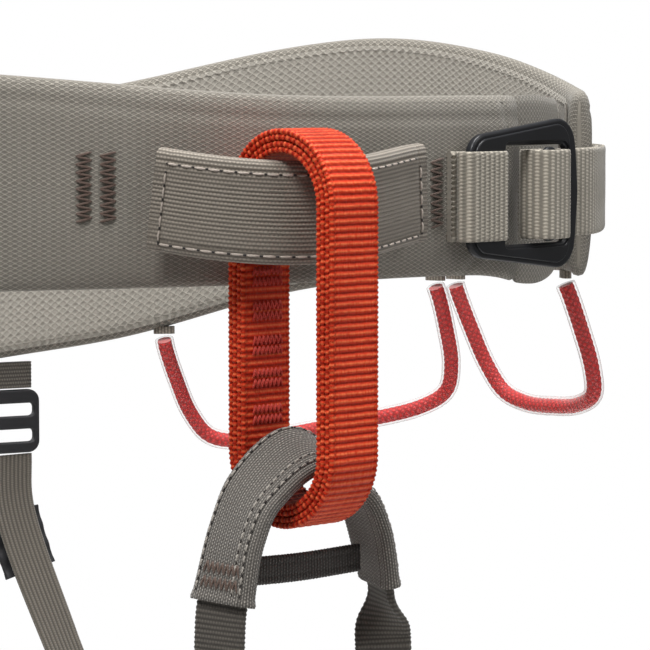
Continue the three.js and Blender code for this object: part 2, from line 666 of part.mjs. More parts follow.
// A rounded U below the line from start to end, tilted away from the body.
function hangingPath(start, end, drop, corner, tilt) {
  const chord = end.clone().sub(start);
  const span = chord.length();
  const along = chord.normalize();
  const centre = start.clone().add(end).multiplyScalar(0.5);
  const away = new THREE.Vector3(centre.x, centre.y, 0).normalize();
  const down = UP.clone().negate().multiplyScalar(Math.cos(tilt * RADIANS));
  down.addScaledVector(away, Math.sin(tilt * RADIANS));
  down.addScaledVector(along, -down.dot(along)).normalize();
  const half = [
    [span / 2, 0], [span / 2 + 0.3, corner * 0.27], [span / 2, drop * 0.35], [span / 2 - 1.5, drop - corner],
    [span / 2 - 1.5 - corner * 0.3, drop - corner * 0.3], [span / 2 - 1.5 - corner, drop],
  ];
  const place = ([x, depth], side) => centre.clone().addScaledVector(along, side * x).addScaledVector(down, depth);
  const points = [
    ...half.map((point) => place(point, -1)), place([0, drop + 1], 1),
    ...half.map((point) => place(point, 1)).reverse(),
  ];
  const normal = new THREE.Vector3().crossVectors(along, down);
  return { pathAt: smoothPath(points), sideAt: constantly(normal) };
}

// A fabric tab under the belt's edge, over one end of a loop.
function addAnchorTab(name, arc, side) {
  const half = ANCHOR_WIDTH / 2;
  const tab = bentStrip(2, (along, up, out) => {
    const angle = side * waist.angleAt(arc + side * THREE.MathUtils.lerp(-half, half, along));
    const flare = side > 0 ? flareAt(angle - 360) : 0;
    const offset = BELT_OUT / 2 + flare + THREE.MathUtils.lerp(-ANCHOR_THICKNESS, ANCHOR_THICKNESS, out) / 2;
    const top = beltEdges(angle).bottom - GAP;
    return onWaist(angle, offset, top - ANCHOR_DROP * (1 - up));
  });
  addPiece(name, tab, MATERIALS.darkWebbing);
}

function addGearLoops() {
  const bore = polygon(SHEATH_BORE, 6, THREE.Path);
  const sheath = polygon(SHEATH_RADIUS, 8);
  sheath.holes.push(bore);
  const core = polygon(CORE_RADIUS, 6);
  for (const [place, arcs] of Object.entries(GEAR_LOOPS)) {
    for (const [sideName, side] of [['left', 1], ['right', -1]]) {
      const name = `gear_loop_${place}_${sideName}`;
      const [start, end] = loopEnds(arcs, side);
      const { pathAt, sideAt } = hangingPath(start, end, GEAR_DROP, GEAR_CORNER, GEAR_TILT);
      addPiece(`${name}_sheath`, sweep(sheath, 12, pathAt, sideAt, endTaper), MATERIALS.clearTube);
      const corePath = (share) => pathAt(THREE.MathUtils.lerp(1 / 12, 11 / 12, share));
      addPiece(`${name}_core`, sweep(core, 10, corePath, sideAt), MATERIALS.redCord);
      arcs.forEach((arc, index) => addAnchorTab(`${name}_anchor_${'ab'[index]}`, arc, side));
    }
  }
}

// The haul loop hangs on two tabs on the belt's outer face.
function addHaulLoop() {
  const arcs = [waist.perimeter / 2 - HAUL_SPAN / 2, waist.perimeter / 2 + HAUL_SPAN / 2];
  const [start, end] = arcs.map((arc) => onWaist(waist.angleAt(arc), BELT_OUT + HAUL_STAND_OFF, HAUL_Z));
  const { pathAt, sideAt } = hangingPath(start, end, HAUL_DROP, HAUL_CORNER, 0);
  addPiece('haul_loop', sweep(polygon(HAUL_RADIUS, 8), 12, pathAt, sideAt, endTaper), MATERIALS.darkWebbing);
  arcs.forEach((arc, index) => {
    const tab = bentStrip(2, (along, up, out) => {
      const angle = waist.angleAt(arc + THREE.MathUtils.lerp(-ANCHOR_WIDTH, ANCHOR_WIDTH, along) / 2);
      const offset = BELT_OUT + GAP + (HAUL_STAND_OFF + HAUL_RADIUS - GAP) * out;
      return onWaist(angle, offset, HAUL_Z + PIVOT_DROP + HAUL_TAB_HEIGHT * up);
    });
    addPiece(`haul_loop_anchor_${'ab'[index]}`, tab, MATERIALS.darkWebbing);
  });
}

// ---- Leg loops ----

const LEG_X = LEG_HALF_WIDTH + LEG_SPACING;
const LEG_Z = BRIDGE_Z - LEG_DROP;

const LEG_SURFACE = LEG_LINING + GAP + LEG_PAD + GAP + LEG_SHELL;
const legAcross = new THREE.Vector3(0, Math.cos(LEG_TILT * RADIANS), -Math.sin(LEG_TILT * RADIANS));
const legAxis = new THREE.Vector3(0, Math.sin(LEG_TILT * RADIANS), Math.cos(LEG_TILT * RADIANS));

// A point on a leg loop. Angles start at its front and grow round the outside of the thigh.
function onLeg(side, angle, offset, height) {
  const point = thigh.at(angle, offset);
  const place = new THREE.Vector3(side * (LEG_X + point.x), LEG_Y, LEG_Z);
  return place.addScaledVector(legAcross, point.y).addScaledVector(legAxis, height);
}

// A strip round the thigh. The left and right strips run opposite ways, so faces stay outside.
function legStrip(side, from, to, steps, halfHeightAt, inner, outer) {
  return bentStrip(steps, (along, up, out) => {
    const angle = THREE.MathUtils.lerp(from, to, side > 0 ? along : 1 - along);
    const half = halfHeightAt(angle);
    return onLeg(side, angle, THREE.MathUtils.lerp(inner, outer, out), THREE.MathUtils.lerp(-half, half, up));
  });
}

function cuffHalfHeight(angle) {
  const rear = (1 - Math.cos(angle * RADIANS)) / 2;
  const ends = THREE.MathUtils.smoothstep(angle, CUFF_END - 40, CUFF_END);
  const full = THREE.MathUtils.lerp(CUFF_FRONT_HEIGHT, CUFF_REAR_HEIGHT, rear);
  return (full - 26 * ends) / 2;
}

function addLegLoop(name, side) {
  const padIn = LEG_LINING + GAP;
  const shellIn = padIn + LEG_PAD + GAP;
  const webbingIn = LEG_SURFACE + GAP;
  const cuff = (inner, outer) => legStrip(side, CUFF_START, CUFF_END, CUFF_STEPS, cuffHalfHeight, inner, outer);
  addPiece(`leg_${name}_lining`, cuff(0, LEG_LINING), MATERIALS.lining);
  addPiece(`leg_${name}_foam`, cuff(padIn, padIn + LEG_PAD), MATERIALS.foam);
  addPiece(`leg_${name}_shell`, cuff(shellIn, LEG_SURFACE), MATERIALS.beltFabric);
  const step = (CUFF_END - CUFF_START) / CUFF_STEPS;
  const webbingStart = CUFF_START + 2 * step;
  const webbing = legStrip(
    side, webbingStart, webbingStart + LEG_WEBBING_STEPS * step, LEG_WEBBING_STEPS,
    () => LEG_WEBBING_HEIGHT / 2, webbingIn, webbingIn + LEG_WEBBING);
  addPiece(`leg_${name}_webbing`, webbing, MATERIALS.darkWebbing);
  const elastic = legStrip(
    side, CUFF_END + 1, CUFF_START + 359, 8, () => ELASTIC_HEIGHT / 2, padIn, padIn + ELASTIC_THICKNESS);
  addPiece(`leg_${name}_elastic`, elastic, MATERIALS.elastic);
  addLegStrap(name, side, webbingIn);
}

// The front strap comes down from the bridge's arm and lies on the cuff's front end.
function addLegStrap(name, side, webbingIn) {
  const armEnd = bridgePath(side > 0 ? 1 : 0);
  const armInside = bridgePath(side > 0 ? 0.99 : 0.01);
  const onwards = armEnd.clone().sub(armInside).normalize();
  const top = armEnd.clone().addScaledVector(onwards, LEG_JOINT_GAP);
  const offset = webbingIn + LEG_STRAP_THICKNESS / 2 + LEG_STRAP_LIFT;
  const onCuff = (height) => onLeg(side, CUFF_START + LEG_STRAP_PLACE, offset, height);
  const edge = cuffHalfHeight(CUFF_START + LEG_STRAP_PLACE);
  const points = [
    top, top.clone().addScaledVector(onwards, 9), onCuff(edge + 9), onCuff(edge - 4), onCuff(-8),
  ];
  const topSide = bridgeSide(side > 0 ? 1 : 0);
  const behind = onLeg(side, CUFF_START, 0, 0);
  const endSide = behind.sub(onLeg(side, CUFF_START + 2 * LEG_STRAP_PLACE, 0, 0)).normalize();
  const sideAt = (share) => {
    const turn = THREE.MathUtils.smoothstep(share, 0.1, 0.6);
    return topSide.clone().lerp(endSide, turn).normalize();
  };
  const strap = rectangle(LEG_STRAP_WIDTH, LEG_STRAP_THICKNESS);
  addPiece(`leg_${name}_strap`, sweep(strap, 16, smoothPath(points), sideAt), MATERIALS.darkWebbing);
}

// ---- Rear risers ----

function addRiser(name, side) {
  const beltBottom = beltEdges(180).bottom;
  const rearY = WAIST_HALF_DEPTH + BELT_OUT / 2;
  const hangerTop = beltBottom - 2 * GAP;
  const hanger = new THREE.BoxGeometry(RISER_WIDTH, RISER_THICKNESS * 2, HANGER_HEIGHT);
  const hangerMesh = addPiece(`riser_${name}_hanger`, hanger, MATERIALS.darkWebbing);
  hangerMesh.position.set(side * RISER_X, rearY, hangerTop - HANGER_HEIGHT / 2);

  const hookTop = hangerTop - HANGER_HEIGHT - 2 * GAP;
  const outline = roundedRectangle(HOOK_WIDTH, HOOK_HEIGHT, 4);
  for (const height of [HOOK_HEIGHT / 2 - 7, -HOOK_HEIGHT / 2 + 6]) {
    const slot = roundedRectangle(HOOK_WIDTH - 4, 4.5, 1.5, THREE.Path).getPoints(2);
    outline.holes.push(new THREE.Path(slot.map((point) => point.add(new THREE.Vector2(0, height)))));
  }
  const plate = new THREE.ExtrudeGeometry(outline, { depth: HOOK_THICKNESS, bevelEnabled: false, curveSegments: 3 });
  plate.translate(0, 0, -HOOK_THICKNESS / 2);
  const hook = addPiece(`riser_${name}_hook`, plate, MATERIALS.blackPlastic);
  hook.rotation.x = Math.PI / 2;
  hook.position.set(side * RISER_X, rearY, hookTop - HOOK_HEIGHT / 2);

  const strapTop = hookTop - HOOK_HEIGHT - 2 * GAP;
  const legAngle = 180 + Math.asin((LEG_X - RISER_END_X) / LEG_HALF_WIDTH) / RADIANS;
  const halfHeight = cuffHalfHeight(legAngle);
  const landing = onLeg(side, legAngle, LEG_SURFACE + 3 * GAP + RISER_THICKNESS / 2, halfHeight + 2);
  const end = onLeg(side, legAngle, LEG_SURFACE + 3 * GAP + RISER_THICKNESS / 2, LEG_WEBBING_HEIGHT / 2 + 1);
  const top = new THREE.Vector3(side * RISER_X, rearY, strapTop);
  const middle = top.clone().lerp(landing, 0.5).add(new THREE.Vector3(-side * 4, 3, 0));
  const points = [top, top.clone().add(new THREE.Vector3(side * 0.5, -0.5, -18)), middle, landing, end];
  const legSide = onLeg(side, legAngle + 5, 0, 0).sub(onLeg(side, legAngle - 5, 0, 0)).normalize();
  const sideways = new THREE.Vector3(-side, 0, 0);
  const sideAt = (share) => sideways.clone().lerp(legSide, THREE.MathUtils.smoothstep(share, 0.3, 0.95)).normalize();
  const strap = rectangle(RISER_WIDTH, RISER_THICKNESS);
  const pathAt = smoothPath(points);
  addPiece(`riser_${name}_strap`, sweep(strap, 16, pathAt, sideAt), MATERIALS.elastic);
  addRiserSlider(name, side, pathAt, sideAt);
}

// A flat ladder-lock plate over the strap's face.
function addRiserSlider(name, side, pathAt, sideAt) {
  const place = (share) => THREE.MathUtils.lerp(0.26, 0.38, share);
  const plate = new THREE.Shape(rectangle(RISER_WIDTH + 5, 2.4).getPoints().map(
    (point) => point.add(new THREE.Vector2(0, RISER_THICKNESS / 2 + 2 * GAP + 1.2))));
  const geometry = sweep(plate, 3, (share) => pathAt(place(share)), (share) => sideAt(place(share)));
  addPiece(`riser_${name}_slider`, geometry, MATERIALS.blackPlastic);
}

// ---- Assembly ----

addWaistBelt();
addBuckleFlap();
addTieIn();
addBelayLoop();
addBridge();
addBuckleFrame();
addBuckleSlider();
addAnchorWebbing();
addWaistStrap();
addKeeper();
addGearLoops();
addHaulLoop();
for (const [name, side] of [['left', 1], ['right', -1]]) {
  addLegLoop(name, side);
  addRiser(name, side);
}

export default harness;
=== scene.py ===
import math

import bpy
import numpy as np
from mathutils import Matrix, Vector


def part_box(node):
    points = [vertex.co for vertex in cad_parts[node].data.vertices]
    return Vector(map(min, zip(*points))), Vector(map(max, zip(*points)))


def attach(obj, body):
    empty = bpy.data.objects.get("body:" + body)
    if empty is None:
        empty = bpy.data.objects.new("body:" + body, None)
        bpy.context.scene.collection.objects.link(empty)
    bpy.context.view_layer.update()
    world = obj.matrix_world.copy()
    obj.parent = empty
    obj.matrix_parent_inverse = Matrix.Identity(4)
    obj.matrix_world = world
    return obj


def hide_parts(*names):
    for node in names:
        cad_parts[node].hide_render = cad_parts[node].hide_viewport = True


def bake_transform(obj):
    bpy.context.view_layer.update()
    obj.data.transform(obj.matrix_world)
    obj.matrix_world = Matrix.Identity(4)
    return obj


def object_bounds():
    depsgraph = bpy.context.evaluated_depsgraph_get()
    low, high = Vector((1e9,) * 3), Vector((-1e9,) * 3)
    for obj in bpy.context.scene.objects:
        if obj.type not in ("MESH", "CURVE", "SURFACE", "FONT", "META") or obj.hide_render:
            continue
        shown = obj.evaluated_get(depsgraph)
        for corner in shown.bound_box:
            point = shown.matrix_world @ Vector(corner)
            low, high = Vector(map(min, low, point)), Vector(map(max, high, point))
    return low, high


bl_info = {
    "name": "Climbing Harness",
    "version": (1, 0, 0),
    "blender": (4, 5, 0),
    "location": "View3D > Sidebar > Harness",
    "description": "Builds the webbing, padding, buckle and loops of a sit harness round its frame",
    "category": "Object",
}

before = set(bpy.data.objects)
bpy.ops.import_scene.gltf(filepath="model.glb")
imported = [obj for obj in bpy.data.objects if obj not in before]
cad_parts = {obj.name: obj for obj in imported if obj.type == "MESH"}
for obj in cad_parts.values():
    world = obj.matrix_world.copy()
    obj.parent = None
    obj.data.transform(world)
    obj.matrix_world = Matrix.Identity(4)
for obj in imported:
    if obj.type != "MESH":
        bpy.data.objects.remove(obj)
CAD_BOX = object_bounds()

# Lengths in this file are millimetres until a mesh is made from them.
MM = 0.001
GAP = 0.3
UP = np.array([0.0, 0.0, 1.0])
CLOTH_MAP = "cloth"
EDGE_ROUNDNESS = 0.96

WAIST_SIZE = (146, 105)
BELT_OUT = 9.1
BELT_THIN = 6.1
OUTER_END_ARC = 149
PANEL_END_ARC = 99
FLARE = 5
FLARE_ARC = 85
PANEL_TAPER_ARC = 14
BELT_EDGES = np.array([
    [-180, 20, -66], [-160, 29.5, -59], [-137, 41.5, -44], [-120, 45, -38], [-90, 42, -33],
    [-60, 37, -29], [-30, 32, -27], [0, 26.5, -26.5], [30, 26, -27], [45, 26, -31.5],
    [60, 26.5, -32], [75, 29, -31.5], [100, 40, -34], [120, 45, -38], [137, 41.5, -44],
    [160, 29.5, -59], [180, 20, -66]], float)
TIE_IN_ARCS = (-36, 44)
TIE_IN_OFFSET = 13.2
LOOP_X, LOOP_Y, LOOP_TOP = -4.654, -138.154, 17.5
LOOP_HEIGHT, LOOP_DEPTH, LOOP_WIDTH = 108, 41, 18
LOOP_TWIST = math.radians(16)
BRIDGE_Z = -70.2
BRIDGE_TURN = math.radians(12)
BRIDGE_HALF_SPAN = 29
BUCKLE_ARC, BUCKLE_Z = 83.5, -3.2
BUCKLE_LENGTH, BUCKLE_HEIGHT, BUCKLE_THICKNESS = 51, 43, 3
BAR_START, BAR_WIDTH = 6.6, 8.4
STRAP_HEIGHT, STRAP_THICKNESS = 27, 1.5
KEEPER_ARC = 186
GEAR_LOOPS = {"front": (173.4, 230.2), "rear": (238.1, 332.8)}
LEG_CENTRE = (92, -22, -218)
LEG_SIZE = (78, 105)
LEG_TILT = math.radians(25)
LEG_SURFACE = 7.6
CUFF_START, CUFF_END = -45, 250
CUFF_STEP = 295 / 32
LEG_STRAP_FACING = (-0.883, 0.469, 0)
RISER_X = 11
SIDES = (("left", 1), ("right", -1))


def unit(vectors):
    return vectors / np.linalg.norm(vectors, axis=-1, keepdims=True)


def lerp(low, high, share):
    return low + (high - low) * share


def smoothstep(value, low, high):
    share = np.clip((value - low) / (high - low), 0, 1)
    return share * share * (3 - 2 * share)


def bell(distance, width):
    return np.exp(-(distance / width) ** 2)


def row_of(x, y, z):
    return np.stack(np.broadcast_arrays(x, y, z), -1).astype(float)


def turned(points, angle):
    x, y, z = np.moveaxis(points, -1, 0)
    return row_of(x * math.cos(angle) - y * math.sin(angle), x * math.sin(angle) + y * math.cos(angle), z)


# ---- Ovals, paths and ribbons ----


class Oval:
    """A ring seen from above. Angles and arcs start at its front and grow towards +X."""

    def __init__(self, half_width, half_depth):
        self.half = (half_width, half_depth)
        ring = self.at(np.arange(361), 0)
        steps = np.linalg.norm(np.diff(ring, axis=0), axis=1)
        self.lengths = np.concatenate([[0], np.cumsum(steps)])
        self.perimeter = self.lengths[-1]

    def outward(self, angle):
        turn = np.radians(angle)
        return unit(np.stack([np.sin(turn) / self.half[0], -np.cos(turn) / self.half[1]], -1))

    def at(self, angle, offset):
        turn = np.radians(angle)
        base = np.stack([self.half[0] * np.sin(turn), -self.half[1] * np.cos(turn)], -1)
        return base + self.outward(angle) * np.asarray(offset)[..., None]

    def angle_at(self, arc):
        turns = np.floor(np.asarray(arc) / self.perimeter)
        return turns * 360 + np.interp(arc - turns * self.perimeter, self.lengths, np.arange(361))

    def arc_at(self, angle):
        turns = np.floor(np.asarray(angle) / 360)
        return turns * self.perimeter + np.interp(angle - turns * 360, np.arange(361), self.lengths)


waist = Oval(*WAIST_SIZE)
thigh = Oval(*LEG_SIZE)


def on_waist(angle, offset, height):
    flat = waist.at(angle, offset)
    return row_of(flat[..., 0], flat[..., 1], height)


def belt_edges(angle):
    """Top and bottom height of the belt at an angle round the waist."""
    wrapped = (np.asarray(angle, float) + 180) % 360 - 180
    knots = BELT_EDGES[:, 0]
    index = np.clip(np.searchsorted(knots, wrapped, side="right") - 1, 0, len(knots) - 2)
    span = knots[index + 1] - knots[index]
    share = (wrapped - knots[index]) / span
    found = []
    for heights in (BELT_EDGES[:, 1], BELT_EDGES[:, 2]):
        slopes = np.gradient(heights, knots)
        slopes[1:-1] = (heights[2:] - heights[:-2]) / (knots[2:] - knots[:-2])
        a, b = heights[index], heights[index + 1]
        m, n = slopes[index] * span, slopes[index + 1] * span
        found.append(a + m * share + (3 * (b - a) - 2 * m - n) * share ** 2 + (2 * (a - b) + m + n) * share ** 3)
    return found


OUTER_END_ANGLE = float(waist.angle_at(OUTER_END_ARC)) - 360
PANEL_END_ANGLE = float(waist.angle_at(PANEL_END_ARC))
FLARE_END_ANGLE = float(waist.angle_at(OUTER_END_ARC + FLARE_ARC)) - 360
TAPER_START_ANGLE = float(waist.angle_at(PANEL_END_ARC - PANEL_TAPER_ARC))


def flare_at(angle):
    return FLARE * (1 - smoothstep(angle, OUTER_END_ANGLE, FLARE_END_ANGLE))


def belt_thickness(angle):
    return BELT_OUT - (BELT_OUT - BELT_THIN) * smoothstep(angle, TAPER_START_ANGLE, PANEL_END_ANGLE)


def smooth_path(points):
    """A centripetal curve through points, as a function of shares from 0 to 1."""
    knots = np.asarray(points, float)
    padded = np.vstack([2 * knots[0] - knots[1], knots, 2 * knots[-1] - knots[-2]])
    spans = len(knots) - 1

    def at(shares):
        place = np.clip(np.atleast_1d(shares), 0, 1) * spans
        index = np.minimum(place.astype(int), spans - 1)
        w = (place - index)[:, None]
        p = [padded[index + step] for step in range(4)]
        d = [np.sqrt(np.linalg.norm(p[i + 1] - p[i], axis=1, keepdims=True)) for i in range(3)]
        t = ((p[1] - p[0]) / d[0] - (p[2] - p[0]) / (d[0] + d[1]) + (p[2] - p[1]) / d[1]) * d[1]
        s = ((p[2] - p[1]) / d[1] - (p[3] - p[1]) / (d[1] + d[2]) + (p[3] - p[2]) / d[2]) * d[1]
        return p[1] + t * w + (3 * (p[2] - p[1]) - 2 * t - s) * w ** 2 + (2 * (p[1] - p[2]) + t + s) * w ** 3

    return at


def constantly(direction):
    return lambda shares: np.broadcast_to(np.asarray(direction, float), (len(shares), 3))


class Ribbon:
    """A path with a side direction: what a strap, sleeve or cord is swept along."""

    def __init__(self, path, side, closed=False):
        self.path, self.side, self.closed = path, side, closed
        self.table = np.linspace(0, 1, 1201)
        points = path(self.table)
        self.arcs = np.concatenate([[0], np.cumsum(np.linalg.norm(np.diff(points, axis=0), axis=1))])
        self.length = self.arcs[-1]

    def shares(self, arcs):
        return np.interp(arcs, self.arcs, self.table)

    def frame_at(self, shares):
        shares = np.atleast_1d(shares)
        reach = 0.002
        if self.closed:
            tangent = self.path((shares + reach) % 1) - self.path((shares - reach) % 1)
        else:
            tangent = self.path(np.minimum(shares + reach, 1)) - self.path(np.maximum(shares - reach, 0))
        tangent = unit(tangent)
        side = self.side(shares)
        side = unit(side - tangent * np.sum(side * tangent, -1, keepdims=True))
        return self.path(shares), side, np.cross(tangent, side)

    def on_face(self, arcs, across, lift):
        """Points on the ribbon's face and the face's direction there."""
        centre, side, face = self.frame_at(self.shares(np.atleast_1d(arcs)))
        return centre + side * np.reshape(across, (-1, 1)) + face * lift, face


def strap_section(width, thickness, spacing=0.8, edge_points=5):
    """x, y, their outward direction and the distance round a strap's section."""
    radius = thickness / 2 * EDGE_ROUNDNESS
    flat = width / 2 - radius
    count = max(3, int(2 * flat / spacing) + 1)
    line = np.linspace(-flat, flat, count)
    turn = np.linspace(-np.pi / 2, np.pi / 2, edge_points + 2)[1:-1]
    squash = thickness / 2 / radius
    x = np.concatenate([line, flat + radius * np.cos(turn), line[::-1], -flat - radius * np.cos(turn)])
    y = np.concatenate([
        np.full(count, -thickness / 2), radius * np.sin(turn) * squash,
        np.full(count, thickness / 2), -radius * np.sin(turn) * squash])
    nx = np.concatenate([np.zeros(count), np.cos(turn), np.zeros(count), -np.cos(turn)])
    ny = np.concatenate([-np.ones(count), np.sin(turn), np.ones(count), -np.sin(turn)])
    return section_from(x, y, nx, ny)


def section_from(x, y, nx, ny):
    ring = np.stack([np.append(x, x[0]), np.append(y, y[0])], -1)
    around = np.concatenate([[0], np.cumsum(np.linalg.norm(np.diff(ring, axis=0), axis=1))])
    return {"x": x, "y": y, "nx": nx, "ny": ny, "around": around}


def round_section(radius, count=20):
    turn = np.linspace(0, 2 * np.pi, count, endpoint=False)
    return section_from(radius * np.cos(turn), radius * np.sin(turn), np.cos(turn), np.sin(turn))


def pad_section(half_height, half_thickness, count, power):
    """A padded panel's section on a unit box: height from -1 to 1, thickness from -1 to 1."""
    turn = np.linspace(0, 2 * np.pi, 6000, endpoint=False)
    up = np.sign(np.cos(turn)) * np.abs(np.cos(turn)) ** (2 / power)
    out = np.sign(np.sin(turn)) * np.abs(np.sin(turn)) ** (2 / power)
    ring = np.stack([up * half_height, out * half_thickness], -1)
    steps = np.linalg.norm(np.roll(ring, -1, axis=0) - ring, axis=1)
    lengths = np.concatenate([[0], np.cumsum(steps)])
    wanted = np.linspace(0, lengths[-1], count, endpoint=False)
    pick = np.minimum(np.searchsorted(lengths, wanted), len(turn) - 1)
    return up[pick], out[pick], np.append(wanted, lengths[-1])


# ---- Meshes ----


def make_object(name, vertices, quads, caps, corners=None):
    """A smooth object from millimetre vertices, quads, end caps and the quads' corner map."""
    mesh = bpy.data.meshes.new(name)
    faces = [tuple(face) for face in quads.tolist()] + [tuple(cap) for cap in caps]
    mesh.from_pydata((vertices * MM).tolist(), [], faces)
    if corners is not None:
        layer = mesh.uv_layers.new(name=CLOTH_MAP)
        flat = np.zeros(len(layer.data) * 2, np.float32)
        flat[:corners.size] = corners.reshape(-1) * MM
        layer.data.foreach_set("uv", flat)
    if inside_out(vertices, quads):
        mesh.flip_normals()
    mesh.polygons.foreach_set("use_smooth", [True] * len(mesh.polygons))
    mesh.set_sharp_from_angle(angle=math.radians(55))
    made = bpy.data.objects.new(name, mesh)
    bpy.context.collection.objects.link(made)
    return made


def inside_out(vertices, quads):
    a, b, c, d = (vertices[quads[:, corner]] - vertices.mean(0) for corner in range(4))
    return np.sum(np.cross(a, b) * c) + np.sum(np.cross(a, c) * d) < 0


def skin(name, grid, along, around, closed=False):
    """A surface over rows of a closed section. along and around are cloth distances in mm."""
    rows, columns, _ = grid.shape
    last = rows if closed else rows - 1
    i, j = np.meshgrid(np.arange(last), np.arange(columns), indexing="ij")
    after, beside = (i + 1) % rows, (j + 1) % columns
    quads = np.stack([i * columns + j, i * columns + beside, after * columns + beside, after * columns + j], -1)
    u, v = np.asarray(along, float), np.asarray(around, float)
    corners = np.stack([
        np.stack([u[i], v[j]], -1), np.stack([u[i], v[j + 1]], -1),
        np.stack([u[i + 1], v[j + 1]], -1), np.stack([u[i + 1], v[j]], -1)], 2)
    caps = []
    if not closed:
        caps = [range(columns - 1, -1, -1), range((rows - 1) * columns, rows * columns)]
    return make_object(name, grid.reshape(-1, 3), quads.reshape(-1, 4), caps, corners.reshape(-1, 4, 2))


def sweep(
        name, ribbon, section, step=0.6, relief=None, start=0.0, end=None, width=None, lift=None, mouth=0):
    """Sweeps a section along a ribbon. relief gives the surface's height in mm at (arc, x, ny)."""
    end = ribbon.length if end is None else end
    count = max(8, int((end - start) / step))
    arcs = np.linspace(start, end, count + 1)
    sampled = arcs[:-1] if ribbon.closed else arcs
    centre, side, face = ribbon.frame_at(ribbon.shares(sampled))
    x, y = section["x"][None, :], section["y"][None, :]
    nx, ny = section["nx"][None, :], section["ny"][None, :]
    scale = np.ones((len(sampled), 1)) if width is None else width(sampled)[:, None]
    height = 0 if relief is None else relief(sampled[:, None], x, ny)
    raised = 0 if lift is None else lift(sampled)[:, None]
    x_all = x * scale + nx * height
    y_all = y + ny * height + raised + 0 * x_all
    grid = centre[:, None] + side[:, None] * x_all[..., None] + face[:, None] * y_all[..., None]
    if mouth:
        grid, arcs = hollow_ends(grid, arcs, mouth)
    return skin(name, grid, arcs, section["around"], closed=ribbon.closed)


def hollow_ends(grid, arcs, depth):
    """Turns the two ends of a sleeve inwards, so that each shows a lip and a dark mouth."""
    rings = []
    for edge, inner in ((grid[0], grid[6]), (grid[-1], grid[-7])):
        middle = edge.mean(0)
        inwards = unit(inner.mean(0) - middle)
        lip = middle + (edge - middle) * 0.93
        rings.append((lip, middle + (edge - middle) * 0.9 + inwards * depth))
    first, last = rings
    grid = np.concatenate([[first[1]], [first[0]], grid, [last[0]], [last[1]]])
    arcs = np.concatenate([[arcs[0] - depth - 0.4, arcs[0] - 0.4], arcs, [arcs[-1] + 0.4, arcs[-1] + depth + 0.4]])
    return grid, arcs


def sew(name, starts, ends, normals, radius, rise=0.12):
    """Stitches: one small arched thread from each start to its end."""
    starts, ends = np.asarray(starts, float), np.asarray(ends, float)
    share = np.array([0, 0.1, 0.28, 0.5, 0.72, 0.9, 1.0])
    thick = np.array([0.3, 0.75, 1, 1, 1, 0.75, 0.3])
    turn = np.linspace(0, 2 * np.pi, 6, endpoint=False)
    way = ends - starts
    along = unit(way)
    normal = unit(normals - along * np.sum(normals * along, -1, keepdims=True))
    side = np.cross(normal, along)
    centre = starts[:, None] + way[:, None] * share[None, :, None]
    centre = centre + normal[:, None] * (rise * np.sin(np.pi * share) - 0.3 * radius)[None, :, None]
    sideways, upright = np.cos(turn)[None, None, :, None], np.sin(turn)[None, None, :, None]
    ring = side[:, None, None] * sideways + normal[:, None, None] * upright
    points = centre[:, :, None] + ring * (radius * thick)[None, :, None, None]
    i, j = np.meshgrid(np.arange(6), np.arange(6), indexing="ij")
    quads = np.stack([i * 6 + j, i * 6 + (j + 1) % 6, (i + 1) * 6 + (j + 1) % 6, (i + 1) * 6 + j], -1).reshape(-1, 4)
    base = np.arange(len(starts))[:, None, None] * 42
    ends_faces = np.array([[5, 4, 3, 2, 1, 0], [36, 37, 38, 39, 40, 41]])
    caps = (base + ends_faces[None]).reshape(-1, 6).tolist()
    return make_object(name, points.reshape(-1, 3), (base + quads[None]).reshape(-1, 4), caps)


def row_of_stitches(surface, arcs, across, length):
    """Start, end and normal of a running stitch on a surface(arcs, across)."""
    start, normal = surface(arcs, across)
    end, _ = surface(arcs + length, across)
    return start, end, normal


def zigzag(surface, arc, across, length, reach, count):
    """A bartack: threads that go to and fro over reach, side by side along length."""
    steps = np.linspace(0, length, count + 1)
    sway = np.where(np.arange(count + 1) % 2 == 0, -0.5, 0.5) * reach
    arcs, shifts = arc + sway, across + steps
    points, normals = surface(arcs, shifts)
    return points[:-1], points[1:], normals[:-1]


def stitch_hole_shade(name, groups, length, radius):
    """Painted shade: dark dots past both ends of each stitch, where the needle holes are."""
    starts, ends, normals = joined(*groups)
    way = unit(ends - starts)
    first, last = starts - way * length * 1.1, ends + way * length * 0.1
    marks = joined((first, first + way * length, normals), (last, last + way * length, normals))
    return coat(sew(name, *marks, radius, 0.0), "needle_hole")


def joined(*groups):
    return [np.concatenate(parts) for parts in zip(*groups)]


def plate(name, outlines, thickness, bevel, matrix):
    """A flat plate with rounded edges, from an outer outline and the outlines of its holes."""
    curve = bpy.data.curves.new(name, "CURVE")
    curve.dimensions = "2D"
    curve.fill_mode = "BOTH"
    curve.extrude = (thickness / 2 - bevel) * MM
    curve.bevel_depth = bevel * MM
    curve.bevel_resolution = 3
    curve.offset = -bevel * MM
    for outline in outlines:
        spline = curve.splines.new("POLY")
        spline.points.add(len(outline) - 1)
        flat = np.zeros((len(outline), 4))
        flat[:, :2] = np.asarray(outline) * MM
        flat[:, 3] = 1
        spline.points.foreach_set("co", flat.reshape(-1))
        spline.use_cyclic_u = True
    source = bpy.data.objects.new(name + "_outline", curve)
    bpy.context.collection.objects.link(source)
    mesh = bpy.data.meshes.new_from_object(source.evaluated_get(bpy.context.evaluated_depsgraph_get()))
    bpy.data.objects.remove(source)
    mesh.transform(Matrix(matrix))
    mesh.polygons.foreach_set("use_smooth", [True] * len(mesh.polygons))
    mesh.set_sharp_from_angle(angle=math.radians(35))
    made = bpy.data.objects.new(name, mesh)
    bpy.context.collection.objects.link(made)
    return made


